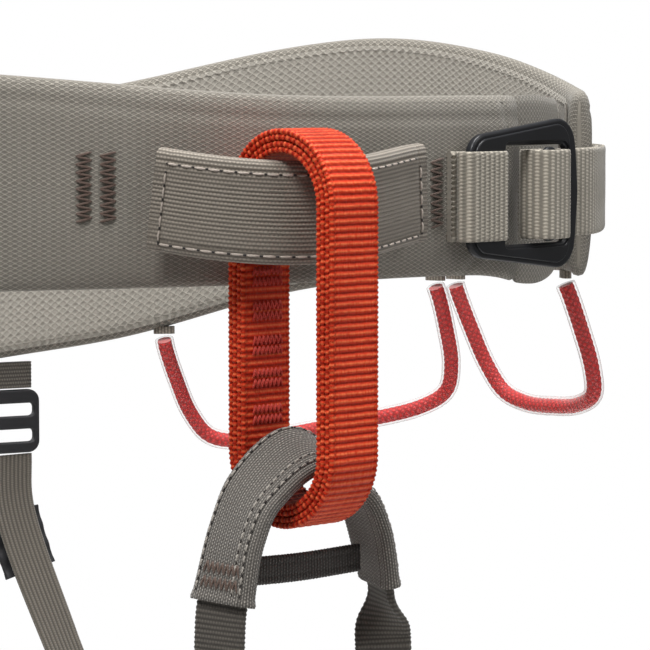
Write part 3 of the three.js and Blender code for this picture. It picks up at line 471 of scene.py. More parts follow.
def rounded_outline(width, height, radius, shift=(0, 0), corner_points=8):
    points = []
    for corner, (x, y) in enumerate([(1, -1), (1, 1), (-1, 1), (-1, -1)]):
        turn = np.linspace(-np.pi / 2, 0, corner_points) + corner * np.pi / 2
        centre = np.array([x * (width / 2 - radius), y * (height / 2 - radius)]) + shift
        points.append(centre + radius * np.stack([np.cos(turn), np.sin(turn)], -1))
    return np.concatenate(points)


def combine(name, objects):
    """Joins meshes into one object that keeps their materials."""
    with bpy.context.temp_override(active_object=objects[0], selected_editable_objects=objects):
        bpy.ops.object.join()
    objects[0].name = name
    return objects[0]


def place(piece, body, slot, *nodes):
    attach(piece, body)
    if nodes:
        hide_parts(*nodes)
    return piece


# ---- Shader maths ----


class Wire:
    """A number that varies over a surface. Arithmetic on it adds Math nodes."""

    def __init__(self, shader, socket):
        self.shader, self.socket = shader, socket

    def maths(self, operation, *others):
        values = {index: other for index, other in enumerate((self,) + others)}
        return self.shader.node("ShaderNodeMath", {"operation": operation}, values)

    def __add__(self, other):
        return self.maths("ADD", other)

    def __radd__(self, other):
        return self.maths("ADD", other)

    def __sub__(self, other):
        return self.maths("SUBTRACT", other)

    def __rsub__(self, other):
        return self.shader.node("ShaderNodeMath", {"operation": "SUBTRACT"}, {0: other, 1: self})

    def __mul__(self, other):
        return self.maths("MULTIPLY", other)

    def __rmul__(self, other):
        return self.maths("MULTIPLY", other)

    def __truediv__(self, other):
        return self.maths("DIVIDE", other)


def wave(value, pitch):
    """1 on each line of a pattern of that pitch, 0 between them."""
    return (value * (2 * math.pi / pitch)).maths("COSINE") * 0.5 + 0.5


def ramp(value, low, high):
    settings = {"interpolation_type": "SMOOTHSTEP"}
    return value.shader.node("ShaderNodeMapRange", settings, {"Value": value, "From Min": low, "From Max": high})


class Shader:
    """A material under construction, with one Principled surface."""

    def __init__(self, name, **constants):
        self.material = bpy.data.materials.new(name)
        self.material.use_nodes = True
        self.tree = self.material.node_tree
        self.tree.nodes.clear()
        self.surface = self.tree.nodes.new("ShaderNodeBsdfPrincipled")
        output = self.tree.nodes.new("ShaderNodeOutputMaterial")
        self.tree.links.new(self.surface.outputs[0], output.inputs[0])
        for socket, value in constants.items():
            self.surface.inputs[socket.replace("_", " ")].default_value = value

    def node(self, kind, settings=None, values=None, out=0):
        made = self.tree.nodes.new(kind)
        for key, value in (settings or {}).items():
            setattr(made, key, value)
        self.feed(made, values or {})
        return Wire(self, made.outputs[out])

    def feed(self, target, values):
        for key, value in values.items():
            if isinstance(value, Wire):
                self.tree.links.new(value.socket, target.inputs[key])
            else:
                target.inputs[key].default_value = value

    def cloth(self):
        """Distances along and round the strap or panel, in millimetres."""
        flat = self.node("ShaderNodeUVMap", {"uv_map": CLOTH_MAP})
        apart = [self.node("ShaderNodeSeparateXYZ", None, {0: flat}, out=axis) for axis in (0, 1)]
        return [axis * 1000 for axis in apart]

    def place_at(self, u, v):
        return self.node("ShaderNodeCombineXYZ", None, {0: u, 1: v})

    def noise(self, scale, detail=2.0, where=None):
        where = where or self.node("ShaderNodeTexCoord", None, None, out=3)
        return self.node("ShaderNodeTexNoise", None, {"Vector": where, "Scale": scale, "Detail": detail})

    def mix(self, share, first, second):
        settings = {"data_type": "RGBA"}
        return self.node("ShaderNodeMix", settings, {0: share, 6: first, 7: second}, out=2)

    def bump(self, height, distance):
        return self.node("ShaderNodeBump", None, {"Height": height, "Distance": distance})

    def done(self, **values):
        self.feed(self.surface, {key.replace("_", " "): value for key, value in values.items()})
        return self.material


def shade(colour, factor):
    return tuple(min(1.0, channel * factor) for channel in colour[:3]) + (1.0,)


def beaded(u, v, rib_pitch, bead_pitch):
    """Ribs along u, each a row of beads, the next row set half a bead on."""
    row = (v / rib_pitch).maths("FLOOR")
    shift = (row * 0.5).maths("FRACT") * bead_pitch
    beads = wave(u + shift, bead_pitch)
    ribs = wave(v - rib_pitch / 2, rib_pitch)
    return ribs * (beads * 0.55 + 0.45)


def lozenges(u, v, length, height):
    """2 at the middle of each lozenge, 0 along the lines between them, -2 at the next one."""
    return (u * (2 * math.pi / length)).maths("COSINE") + (v * (2 * math.pi / height)).maths("COSINE")


def padded_fabric(name, colour):
    """Plain weave under a lattice of raised lozenges."""
    shader = Shader(name, Sheen_Weight=0.2, Sheen_Roughness=0.5, Specular_IOR_Level=0.3)
    u, v = shader.cloth()
    lattice = lozenges(u, v, 2.5, 1.65)
    lines = ramp(lattice.maths("ABSOLUTE"), 0.75, 0.0)
    hearts = ramp(lattice, 1.2, 1.9)
    ground = wave(u + v, 0.55) * wave(u - v, 0.55)
    fibres = shader.noise(1, 2, shader.place_at(u * 0.8, v * 2.6))
    patches = shader.noise(28, 3)
    tone = shader.mix(ground * 0.4, shade(colour, 0.58), shade(colour, 0.88))
    tone = shader.mix(lines * (fibres * 1.1 + 0.15), tone, shade(colour, 1.6))
    tone = shader.mix(hearts * fibres * 0.6, tone, shade(colour, 1.3))
    tone = shader.mix(ramp(patches, 0.42, 0.7) * 0.12, tone, shade(colour, 0.75))
    normal = shader.bump(lines * 0.8 + ground * 0.25 + patches * 0.2, 0.00022)
    return shader.done(Base_Color=tone, Roughness=0.88 - lines * 0.14, Normal=normal)


def mesh_lining(name, colour):
    """Knitted mesh: the belt's lozenges, softer, over small openings darkened with painted shade."""
    shader = Shader(name, Sheen_Weight=0.15, Specular_IOR_Level=0.25)
    u, v = shader.cloth()
    lattice = lozenges(u, v, 2.9, 2.0)
    lines = ramp(lattice.maths("ABSOLUTE"), 0.8, 0.0)
    shaded_openings = ramp(lattice, 1.1, 1.8)
    threads = wave(u + v * 0.5, 0.7) * 0.5
    patches = shader.noise(22, 3)
    tone = shader.mix(lines * 0.7, shade(colour, 0.9), shade(colour, 1.16))
    # Painted shade: the openings are darkened towards a dark copy of the lining colour.
    tone = shader.mix(shaded_openings * 0.6, tone, shade(colour, 0.62))
    tone = shader.mix(patches * threads, tone, shade(colour, 0.8))
    normal = shader.bump(lines - shaded_openings * 0.5 + threads * 0.3, 0.00022)
    return shader.done(Base_Color=tone, Roughness=0.9 - threads * 0.1, Normal=normal)


def webbing(name, colour, rib_pitch, bead_pitch, across=False, contrast=0.5):
    """Woven tape. across turns the ribs so that they run over the strap's width."""
    shader = Shader(name, Sheen_Weight=0.2, Specular_IOR_Level=0.35)
    u, v = shader.cloth()
    first, second = (v, u) if across else (u, v)
    beads = beaded(first, second, rib_pitch, bead_pitch)
    fibres = shader.noise(1, 2, shader.place_at(first * 1.1, second * 7))
    patches = shader.noise(30, 2)
    tone = shader.mix(ramp(beads, 0.05, 0.8), shade(colour, 1 - contrast), shade(colour, 1.12))
    tone = shader.mix(beads * fibres * 0.6, tone, shade(colour, 1.45))
    tone = shader.mix(ramp(patches, 0.4, 0.75) * 0.18, tone, shade(colour, 0.7))
    normal = shader.bump(beads + fibres * 0.25, 0.0002)
    return shader.done(Base_Color=tone, Roughness=0.82 - beads * 0.2, Normal=normal)


def glossy_webbing(name, colour, pale, deep):
    """Filament webbing: a painted highlight in a pale colour on the fibres over each rib, and painted shade in a deep
    colour in the grooves.
    """
    shader = Shader(
        name, Sheen_Weight=0.45, Sheen_Roughness=0.3, Sheen_Tint=pale, Specular_IOR_Level=0.55, Specular_Tint=pale)
    u, v = shader.cloth()
    ribs = wave(u, 2.0)
    fibres = shader.noise(1, 3, shader.place_at(u * 0.7, v * 5.5))
    strands = shader.noise(1, 2, shader.place_at(u * 0.35, v * 1.6))
    patches = shader.noise(24, 2)
    # Painted shade: the grooves between the ribs go towards the deep colour.
    tone = shader.mix(ramp(ribs, 0.0, 0.4) * 0.8 + 0.2, deep, colour)
    # Painted highlight: the pale colour goes on where the fibres and strands run over the ribs.
    tone = shader.mix(ramp(ribs * (fibres * 0.7 + strands * 0.5), 0.34, 0.72) * 0.6, tone, pale)
    tone = shader.mix(ramp(patches, 0.42, 0.75) * 0.3, tone, deep)
    normal = shader.bump(ribs * 0.3 + fibres * 0.5 + strands * 0.4, 0.00028)
    return shader.done(Base_Color=tone, Roughness=0.52 - fibres * 0.22, Normal=normal)


def basket_sleeve(name, colour, pale):
    shader = Shader(name, Sheen_Weight=0.2, Specular_IOR_Level=0.3)
    u, v = shader.cloth()
    over = beaded(u, v, 0.78, 0.95)
    under = beaded(v + 0.4, u, 0.95, 0.78)
    flecks = shader.noise(1, 2, shader.place_at(u * 1.3, v * 1.3))
    patches = shader.noise(26, 2)
    tone = shader.mix(ramp(over, 0.1, 0.7), shade(colour, 0.42), shade(colour, 1.05))
    tone = shader.mix(ramp(over * flecks, 0.32, 0.55) * 0.8, tone, pale)
    tone = shader.mix(ramp(patches, 0.4, 0.7) * 0.2, tone, shade(colour, 0.6))
    normal = shader.bump(over + under * 0.35, 0.00022)
    return shader.done(Base_Color=tone, Roughness=0.9 - over * 0.15, Normal=normal)


def sewing_thread(name, colour):
    shader = Shader(name, Sheen_Weight=0.2, Specular_IOR_Level=0.4)
    strands = shader.noise(2600, 1)
    tone = shader.mix(strands, shade(colour, 0.6), shade(colour, 1.35))
    return shader.done(Base_Color=tone, Roughness=0.7 - strands * 0.2, Normal=shader.bump(strands, 0.0001))


def clear_tube(name, colour):
    shader = Shader(name, IOR=1.46, Specular_IOR_Level=0.6)
    rim = shader.node("ShaderNodeLayerWeight", None, {"Blend": 0.5}, out=1)
    haze = shader.noise(120, 2)
    tone = shader.mix(haze, shade(colour, 0.94), shade(colour, 1.06))
    alpha = ramp(rim, 0.35, 0.9) * 0.5 + 0.03 + haze * 0.03
    return shader.done(Base_Color=tone, Alpha=alpha, Roughness=haze * 0.12 + 0.16)


def braided_cord(name, colour, deep):
    shader = Shader(name, Specular_IOR_Level=0.4)
    u, v = shader.cloth()
    strands = wave(u + v * 0.9, 2.2) * wave(u - v * 0.9, 2.2)
    fibres = shader.noise(1500, 2)
    tone = shader.mix(ramp(strands, 0.02, 0.4), deep, colour)
    tone = shader.mix(fibres * 0.3, tone, shade(colour, 1.5))
    return shader.done(Base_Color=tone, Roughness=0.6 - strands * 0.2, Normal=shader.bump(strands, 0.0003))


def black_metal(name, colour):
    shader = Shader(name, Metallic=0.0, Coat_Roughness=0.1, Specular_IOR_Level=0.22)
    worn = shader.noise(90, 4)
    grain = shader.noise(2400, 2)
    edge = shader.node("ShaderNodeNewGeometry", None, None, out=7)
    rubbed = ramp(edge + worn * 0.05, 0.54, 0.62)
    tone = shader.mix(rubbed * 0.5, colour, (0.05, 0.055, 0.065, 1))
    normal = shader.bump(grain * 0.5 + worn * 0.5, 0.00003)
    return shader.done(Base_Color=tone, Roughness=0.36 + worn * 0.14, Coat_Weight=0.22 - worn * 0.15, Normal=normal)


def moulded_plastic(name, colour):
    shader = Shader(name, Specular_IOR_Level=0.45)
    grain = shader.noise(1800, 3)
    worn = shader.noise(60, 2)
    tone = shader.mix(worn, shade(colour, 0.8), shade(colour, 1.3))
    return shader.done(Base_Color=tone, Roughness=0.42 + grain * 0.2, Normal=shader.bump(grain, 0.00006))


def plain_floor(name, colour):
    shader = Shader(name, Specular_IOR_Level=0.2)
    tone = shader.mix(shader.noise(6, 2), shade(colour, 0.985), colour)
    return shader.done(Base_Color=tone, Roughness=0.8 + shader.noise(40, 2) * 0.1)


# ---- Sizes and colours that a user may change ----


def colour_setting(name, description, default):
    return bpy.props.FloatVectorProperty(
        name=name, description=description, subtype="COLOR", size=4, min=0, max=1, default=default + (1,))


def length_setting(name, description, default, low, high):
    return bpy.props.FloatProperty(
        name=name, description=description, subtype="DISTANCE", unit="LENGTH",
        default=default * MM, min=low * MM, max=high * MM, precision=5)


class HarnessColours(bpy.types.PropertyGroup):
    belt: colour_setting("Belt", "Outer fabric of the belt and the leg loops", (0.285, 0.262, 0.222))
    lining: colour_setting("Lining", "Mesh against the body", (0.40, 0.372, 0.325))
    tie_in: colour_setting("Tie-in", "Sleeve of the upper tie-in", (0.27, 0.235, 0.193))
    strap: colour_setting("Waist strap", "Buckle and waist strap webbing", (0.37, 0.335, 0.275))
    loop: colour_setting("Belay loop", "Filaments of the belay loop", (0.62, 0.034, 0.013))
    loop_deep: colour_setting("Belay loop grooves", "Shaded grooves of the belay loop", (0.21, 0.006, 0.005))
    # Painted highlight: this pale colour is mixed into the belay loop's colour over its ribs; it also tints the loop's
    # sheen and specular.
    loop_pale: colour_setting("Belay loop shine", "Bright filaments of the belay loop", (1.0, 0.27, 0.1))
    dark: colour_setting("Dark webbing", "Leg straps, tabs and hangers", (0.098, 0.086, 0.072))
    cross: colour_setting("Cross strap", "Strap between the arms of the lower tie-in", (0.04, 0.033, 0.028))
    bridge: colour_setting("Bridge sleeve", "Sleeve of the lower tie-in", (0.185, 0.168, 0.148))
    bridge_pale: colour_setting("Bridge flecks", "Light threads of the lower tie-in", (0.46, 0.42, 0.37))
    elastic: colour_setting("Elastic", "Risers, keeper and leg elastic", (0.15, 0.132, 0.108))
    cord: colour_setting("Gear loop cord", "Cord inside the gear loops", (0.7, 0.014, 0.012))
    tube: colour_setting("Gear loop tube", "Clear tube over the cord", (0.93, 0.92, 0.90))
    metal: colour_setting("Buckle", "Coated buckle plates", (0.0095, 0.0098, 0.0115))
    plastic: colour_setting("Plastic", "Riser hooks and sliders", (0.016, 0.016, 0.018))
    thread: colour_setting("Thread", "Running stitches on the tie-in", (0.42, 0.36, 0.31))
    tack: colour_setting("Bartack thread", "Bartacks on the belt", (0.115, 0.075, 0.058))


class HarnessSizes(bpy.types.PropertyGroup):
    rib: length_setting("Sleeve rib", "Distance between the ribs of the tie-in sleeve", 1.12, 0.5, 3)
    loop_rib: length_setting("Belay loop rib", "Distance between the ribs across the belay loop", 2.0, 1, 5)
    strap_rib: length_setting("Strap rib", "Distance between the ribs across the waist strap", 2.2, 1, 5)
    stitch: length_setting("Stitch", "Length of one stitch on the tie-in", 3.0, 1, 6)
    stitch_pitch: length_setting("Stitch pitch", "Distance between stitches on the tie-in", 3.9, 1.5, 8)
    thread: length_setting("Thread radius", "Radius of the sewing thread", 0.3, 0.1, 0.8)
    wrinkle: length_setting("Wrinkle", "Height of the low waves in the padding", 0.35, 0, 2)


def size_of(name):
    return getattr(bpy.context.scene.harness_sizes, name) / MM


def tone_of(name):
    return tuple(getattr(bpy.context.scene.harness_colours, name))


FINISHES = {
    "belt_fabric": lambda: padded_fabric("Belt fabric", tone_of("belt")),
    "lining": lambda: mesh_lining("Mesh lining", tone_of("lining")),
    "tie_in": lambda: webbing("Tie-in weave", tone_of("tie_in"), 1.12, 1.05),
    "strap": lambda: webbing("Strap weave", tone_of("strap"), 2.2, 1.05, across=True, contrast=0.45),
    # The belay loop's pale colour is a painted highlight, and its deep colour is painted shade in the grooves.
    "loop": lambda: glossy_webbing("Belay loop weave", tone_of("loop"), tone_of("loop_pale"), tone_of("loop_deep")),
    "dark": lambda: webbing("Dark weave", tone_of("dark"), 1.3, 0.9, across=True),
    "cross": lambda: webbing("Cross strap weave", tone_of("cross"), 1.0, 0.9, across=True),
    "bridge": lambda: basket_sleeve("Bridge weave", tone_of("bridge"), tone_of("bridge_pale")),
    "elastic": lambda: webbing("Elastic weave", tone_of("elastic"), 1.5, 0.8),
    "cord": lambda: braided_cord("Cord braid", tone_of("cord"), shade(tone_of("cord"), 0.45)),
    "tube": lambda: clear_tube("Clear tube", tone_of("tube")),
    "metal": lambda: black_metal("Black metal", tone_of("metal")),
    "plastic": lambda: moulded_plastic("Black plastic", tone_of("plastic")),
    "thread": lambda: sewing_thread("Pale thread", tone_of("thread")),
    "tack": lambda: sewing_thread("Brown thread", tone_of("tack")),
    "loop_thread": lambda: sewing_thread("Red thread", shade(tone_of("loop"), 0.8)),
    "dark_thread": lambda: sewing_thread("Bridge thread", shade(tone_of("bridge_pale"), 0.8)),
    "edge_thread": lambda: sewing_thread("Edge thread", shade(tone_of("belt"), 0.7)),
    # Painted shade: a near-black copy of the bartack thread colour for the dots at the needle holes.
    "needle_hole": lambda: sewing_thread("Needle holes", shade(tone_of("tack"), 0.12)),
}
made_finishes = {}


def coat(piece, finish):
    if finish not in made_finishes:
        made_finishes[finish] = FINISHES[finish]()
    piece.data.materials.clear()
    piece.data.materials.append(made_finishes[finish])
    return piece


# ---- Padding ----

PAD_POWER = 3.2
BELT_START_ARC = OUTER_END_ARC - waist.perimeter
LINING_DEPTH = 1.5


def belt_relief(arcs, heights):
    """Low waves, sewn dents and the seam of the front end, in mm."""
    waves = np.sin(arcs * 0.083 + heights * 0.05) * np.sin(heights * 0.11 - arcs * 0.021 + 1.3)
    relief = size_of("wrinkle") * waves * smoothstep(np.abs(arcs + 4), 40, 90)
    for centre in (-53.2, -47, 47.3, 54.1):
        relief = relief - 0.95 * bell(arcs - centre, 2.6) * bell(heights + 1, 11)
    relief = relief - 0.5 * smoothstep(45 - np.abs(arcs - 1), 0, 8) * bell(heights + 2, 17)
    top = belt_edges(waist.angle_at(arcs))[0]
    relief = relief - 0.5 * bell(heights - top + 6.4, 0.9)
    slant = 84 - 0.012 * (heights - 2) ** 2 + heights * 0.28
    relief = relief - 0.8 * bell(arcs - slant, 1.5) + 0.35 * bell(arcs - slant + 4, 2.5)
    return relief


def pad_bulge(up):
    return (1 - np.abs(np.clip(up, -0.999, 0.999)) ** PAD_POWER) ** (1 / PAD_POWER)


def belt_face(arcs, heights, lift=0.0):
    """Points on the belt's outer face and the face's direction there."""
    arcs, heights = np.broadcast_arrays(np.atleast_1d(arcs).astype(float), np.asarray(heights, float))
    angle = waist.angle_at(arcs)
    top, bottom = belt_edges(angle)
    bulge = pad_bulge((heights - (top + bottom) / 2) / ((top - bottom) / 2))
    offset = belt_thickness(angle) * (0.5 + 0.5 * bulge) + belt_relief(arcs, heights) * bulge + flare_at(angle)
    outward = waist.outward(angle)
    return on_waist(angle, offset + lift, heights), row_of(outward[..., 0], outward[..., 1], 0)


def pad_rows(spot, arcs, middle, half, inner, outer, relief=None, end_round=4.0, count=84):
    """Rows of a rounded section along a padded panel. spot(arcs, offsets, heights) gives points."""
    typical = float(np.mean(half))
    up, out, around = pad_section(typical, float(np.mean(outer - inner)) / 2, count, PAD_POWER)
    near = np.minimum(arcs - arcs[0], arcs[-1] - arcs)
    rest = np.clip(1 - near / end_round, 0, 1)
    full = np.sqrt(np.clip(1 - rest ** 2, 0.03, 1))
    heights = middle[:, None] + up[None] * (half - end_round * (1 - full) * 0.8)[:, None]
    thickness = (outer - inner) * full
    offsets = ((outer + inner) / 2)[:, None] + out[None] * thickness[:, None] / 2
    if relief is not None:
        offsets = offsets + relief(arcs[:, None] + 0 * heights, heights) * np.clip(out, 0, 1)[None] * full[:, None]
    spread = np.where(arcs < arcs.mean(), -1, 1) * (1 - full) * thickness.max() / 2
    return spot(arcs[:, None] + 0 * heights, offsets, heights), arcs + spread, around


def ended_arcs(start, end, step):
    """Even places from start to end, with closer ones at the rounded ends."""
    ends = np.array([0, 0.25, 0.7, 1.4, 2.4, 3.6])
    inner = np.linspace(start + 5, end - 5, int((end - start) / step))
    return np.concatenate([start + ends, inner, end - ends[::-1]])


def build_belt():
    def place_on_belt(arcs, offsets, heights):
        angle = waist.angle_at(arcs)
        return on_waist(angle, offsets + flare_at(angle), heights)

    arcs = ended_arcs(BELT_START_ARC, PANEL_END_ARC, 1.5)
    angle = waist.angle_at(arcs)
    top, bottom = belt_edges(angle)
    middle, half = (top + bottom) / 2, (top - bottom) / 2
    outer = belt_thickness(angle)
    inner = np.full(len(arcs), LINING_DEPTH)
    rows, along, around = pad_rows(place_on_belt, arcs, middle, half, inner - 0.7, outer, belt_relief)
    pad = coat(skin("belt_padding", rows, along, around), "belt_fabric")
    place(pad, "belt", "belt_fabric", "belt_outer_shell", "belt_foam", "belt_load_webbing",
          "belt_binding_top", "belt_binding_bottom")
    inside = arcs[(arcs > arcs[0] + 3) & (arcs < arcs[-1] - 3)]
    angle = waist.angle_at(inside)
    top, bottom = belt_edges(angle)
    rows, along, around = pad_rows(
        place_on_belt, inside, (top + bottom) / 2, (top - bottom) / 2 - 2.6,
        inner[:len(inside)] * 0, inner[:len(inside)],
        end_round=2.0)
    lining = coat(skin("belt_mesh_lining", rows, along, around), "lining")
    place(lining, "belt", "lining", "belt_lining")


def build_belt_stitches():
    pitch, length, radius = 3.1, 2.2, 0.17
    groups = []
    for edge, inset in ((0, 1.9), (1, -1.9)):
        arcs = np.arange(BELT_START_ARC + 6, PANEL_END_ARC - 8, pitch)
        heights = np.array(belt_edges(waist.angle_at(arcs))[edge]) - inset
        start, normal = belt_face(arcs, heights, 0.02)
        end, _ = belt_face(arcs + length, heights, 0.02)
        groups.append((start, end, normal))
        outward = waist.outward(waist.angle_at(arcs))
        angle, after = waist.angle_at(arcs), waist.angle_at(arcs + length)
        shift = 2.4 if edge == 0 else -2.4
        groups.append((
            on_waist(angle, flare_at(angle) + 0.12, heights - shift),
            on_waist(after, flare_at(after) + 0.12, heights - shift),
            -row_of(outward[..., 0], outward[..., 1], 0)))
    rows = coat(sew("belt_edge_stitches", *joined(*groups), radius, 0.1), "edge_thread")
    place(rows, "belt", "belt_fabric")
    tacks = []
    tacked = ((-55.5, -51.2, -8, 11), (-49.2, -44.8, -8, 11), (45.2, 49.4, -12, 8), (51.6, 56.6, -12, 8))
    for low, high, bottom, top in tacked:
        tacks.append(zigzag(lambda a, z: belt_face(a, z, 0.15), (low + high) / 2, bottom, top - bottom, high - low, 17))
    place(coat(sew("belt_bartacks", *joined(*tacks), 0.36, 0.25), "tack"), "belt", "belt_fabric")


def build_flap():
    arcs = ended_arcs(PANEL_END_ARC + 0.5, 168, 1.6)
    angle = waist.angle_at(arcs)
    top, bottom = belt_edges(angle)
    narrowing = 3 * smoothstep((arcs - arcs[0]) / (arcs[-1] - arcs[0]), 0.2, 0.9)
    rows, along, around = pad_rows(
        lambda a, offsets, heights: on_waist(waist.angle_at(a), offsets, heights),
        arcs, (top + bottom) / 2, (top - bottom) / 2 - narrowing, np.full(len(arcs), 1.0), np.full(len(arcs), 3.4),
        end_round=3.0, count=76)
    flap = coat(skin("buckle_backing_flap", rows, along, around), "belt_fabric")
    place(flap, "belt", "belt_fabric", "buckle_flap")


# ---- Upper tie-in ----


def tie_in_ribbon():
    start, end = TIE_IN_ARCS
    span = end - start
    power = math.log(0.5) / math.log((-4 - start) / span)

    def path(shares):
        arcs = lerp(start + 0.6, end - 0.6, shares)
        arch = np.sin(np.pi * ((arcs - start) / span) ** power) ** 1.35
        return on_waist(waist.angle_at(arcs), TIE_IN_OFFSET + 20 * arch, -1.5 - 3.8 * arch)

    return Ribbon(path, constantly(UP))


def build_tie_in():
    ribbon = tie_in_ribbon()
    rib = size_of("rib")

    def relief(arcs, x, ny):
        ribs = 0.16 * np.cos(2 * np.pi * x / rib)
        beads = 0.07 * np.cos(2 * np.pi * (arcs / 1.05 + 0.5 * np.floor(x / rib + 0.5)))
        puckers = -0.32 * (bell(np.abs(x) - 11.2, 0.8) + bell(arcs - 4.2, 0.9) + bell(arcs - ribbon.length + 4.2, 0.9))
        return (ribs + beads) * np.abs(ny) + puckers * np.abs(ny) + 0.3 * bell(np.abs(x) - 13.2, 0.9)

    section = strap_section(28, 5.6, spacing=0.28)
    sleeve = coat(sweep("tie_in_sleeve_cloth", ribbon, section, 0.5, relief, mouth=3.0), "tie_in")
    place(sleeve, "belt", "taupe_webbing", "tie_in_sleeve", "tie_in_webbing")

    length, pitch, radius = size_of("stitch"), size_of("stitch_pitch"), size_of("thread")
    lift = 2.8 + 0.02
    top, bottom, first, last = 10.2, -11.8, 3.9, ribbon.length - 3.9
    surface = lambda arcs, across: ribbon.on_face(arcs, across, lift)
    groups = []
    for across in (top, bottom):
        arcs = np.arange(first, last - length, pitch)
        groups.append(row_of_stitches(surface, arcs, np.full(len(arcs), across), length))
    for arc in (first - 0.4, last + 0.4):
        across = np.arange(bottom + 0.8, top - length, pitch)
        start, normal = surface(np.full(len(across), arc), across)
        end, _ = surface(np.full(len(across), arc), across + length)
        groups.append((start, end, normal))
    place(coat(sew("tie_in_stitches", *joined(*groups), radius, 0.22), "thread"), "belt", "taupe_webbing")
    place(stitch_hole_shade("tie_in_needle_holes", groups, 0.5, 0.34), "belt", "taupe_webbing")


# ---- Belay loop ----

LOOP_ACROSS = turned(np.array([1.0, 0, 0]), LOOP_TWIST)
LOOP_AFT = turned(np.array([0, 1.0, 0]), LOOP_TWIST)
LOOP_CENTRE = np.array([LOOP_X, LOOP_Y, LOOP_TOP - LOOP_HEIGHT / 2])


def loop_ribbon(inset):
    """The closed run of one ply, inset from the loop's outline to the ply's middle."""
    radius = LOOP_DEPTH / 2 - inset
    straight = LOOP_HEIGHT / 2 - LOOP_DEPTH / 2
    bend, run = math.pi * radius, 2 * straight
    total = 2 * (bend + run)

    def path(shares):
        arc = (np.atleast_1d(shares) % 1) * total
        aft, up = np.zeros_like(arc), np.zeros_like(arc)
        top = arc < bend
        front = (arc >= bend) & (arc < bend + run)
        low = (arc >= bend + run) & (arc < 2 * bend + run)
        rear = arc >= 2 * bend + run
        turn = arc / radius
        aft[top], up[top] = radius * np.cos(turn[top]), straight + radius * np.sin(turn[top])
        aft[front], up[front] = -radius, straight - (arc[front] - bend)
        turn = (arc - bend - run) / radius
        aft[low], up[low] = -radius * np.cos(turn[low]), -straight - radius * np.sin(turn[low])
        aft[rear], up[rear] = radius, -straight + (arc[rear] - 2 * bend - run)
        return LOOP_CENTRE + aft[:, None] * LOOP_AFT + up[:, None] * UP

    return Ribbon(path, constantly(LOOP_ACROSS), closed=True)


def build_belay_loop():
    thickness, rib = 1.42, size_of("loop_rib")

    def ply(name, inset, phase):
        ribbon = loop_ribbon(inset + thickness / 2)
        count = round(ribbon.length / rib)
        pitch = ribbon.length / count

        def relief(arcs, x, ny):
            shift = 0.06 * np.sin(x * 1.9 + phase * 9) + 0.05 * np.sin(arcs * 0.31 + x * 0.6)
            ribs = 0.5 + 0.5 * np.cos(2 * np.pi * (arcs / pitch + phase + shift))
            bundles = 1 - 0.5 * np.exp(-(((x + 7.4) % 2.96 - 1.48) / 0.42) ** 2)
            edge = smoothstep(np.abs(x), 6.9, 7.6)
            row = np.floor((9 - np.abs(x)) / 0.95)
            pearls = 0.5 + 0.5 * np.cos(2 * np.pi * (arcs / pitch * 1.5 + phase + 0.5 * row))
            flat = 0.27 * ribs ** 0.8 * bundles * np.abs(ny)
            return lerp(flat, 0.32 * pearls, edge) - 0.18 * bell(np.abs(x) - 7.2, 0.35) * np.abs(ny)

        section = strap_section(LOOP_WIDTH - 0.6, thickness - 0.3, spacing=0.37, edge_points=7)
        return coat(sweep(name, ribbon, section, pitch / 7, relief), "loop")

    pairs = (("belay_loop_outer", (0.0, 1.53), "outer"), ("belay_loop_inner", (3.35, 4.88), "inner"))
    for node, insets, word in pairs:
        plies = [ply(f"{word}_ply_{index}", inset, 0.3 * index) for index, inset in enumerate(insets)]
        place(combine(f"belay_loop_{word}_webbing", plies), "belay_loop", "red_webbing", node)

    inner = loop_ribbon(6.3)
    bend = math.pi * (LOOP_DEPTH / 2 - 6.3)
    rear_start = 2 * bend + LOOP_HEIGHT - LOOP_DEPTH
    floor_height = LOOP_CENTRE[2] - (LOOP_HEIGHT - LOOP_DEPTH) / 2
    surface = lambda arcs, across: (lambda found: (found[0], -found[1]))(inner.on_face(arcs, across, -0.28))
    tacks = []
    for height in (-23, -32.5, -42, -51, -61):
        arc = rear_start + (height - floor_height)
        for row in (-1.4, 1.4):
            tacks.append(zigzag(surface, arc + row, -5.4, 10.8, 2.6, 14))
    place(coat(sew("belay_loop_bartacks", *joined(*tacks), 0.34, 0.2), "loop_thread"), "belay_loop", "red_webbing")


# ---- Lower tie-in ----


SLEEVE_DROP = 38.8


def on_bridge(x, y, drop):
    flat = turned(np.array([x, y, 0.0]), BRIDGE_TURN)
    return flat + np.array([LOOP_X, LOOP_Y, BRIDGE_Z - drop])


def bridge_arm(side):
    places = [(0, 53.8), (0.6, 41.8), (2.5, 32.8), (6, 20.8), (12.5, 9.6)]
    return [on_bridge(side * (BRIDGE_HALF_SPAN - inwards), 0, drop) for inwards, drop in places]


def bridge_side(shares):
    shares = np.atleast_1d(shares)
    arm = np.abs(2 * shares - 1)
    tilt = (1 - smoothstep(arm, 0, 0.75)) * math.radians(30)
    toe = np.sign(shares - 0.5) * 0.34 * smoothstep(arm, 0.2, 0.9)
    return turned(unit(row_of(toe, np.cos(tilt), np.sin(tilt))), BRIDGE_TURN)


bridge = Ribbon(smooth_path(bridge_arm(-1) + [on_bridge(0, 0, 0)] + bridge_arm(1)[::-1]), bridge_side)


def arc_at_drop(drop):
    heights = bridge.path(bridge.table)[:, 2]
    return bridge.arcs[int(np.argmax(heights > BRIDGE_Z - drop))]


def woven_strap_relief(pitch, height, half_width, bead=0.28):
    """Ribs across a strap with two columns of beads along each edge."""
    def relief(arcs, x, ny):
        ribs = 0.5 + 0.5 * np.cos(2 * np.pi * arcs / pitch)
        columns = smoothstep(np.abs(x), half_width - 2.3, half_width - 1.9)
        beads = 0.5 + 0.5 * np.cos(2 * np.pi * (arcs / pitch + 0.5 * np.floor((half_width - np.abs(x)) / 1.05)))
        return lerp(height * ribs, bead * beads, columns) - 0.18 * bell(np.abs(x) - half_width + 2.1, 0.2) * np.abs(ny)
    return relief


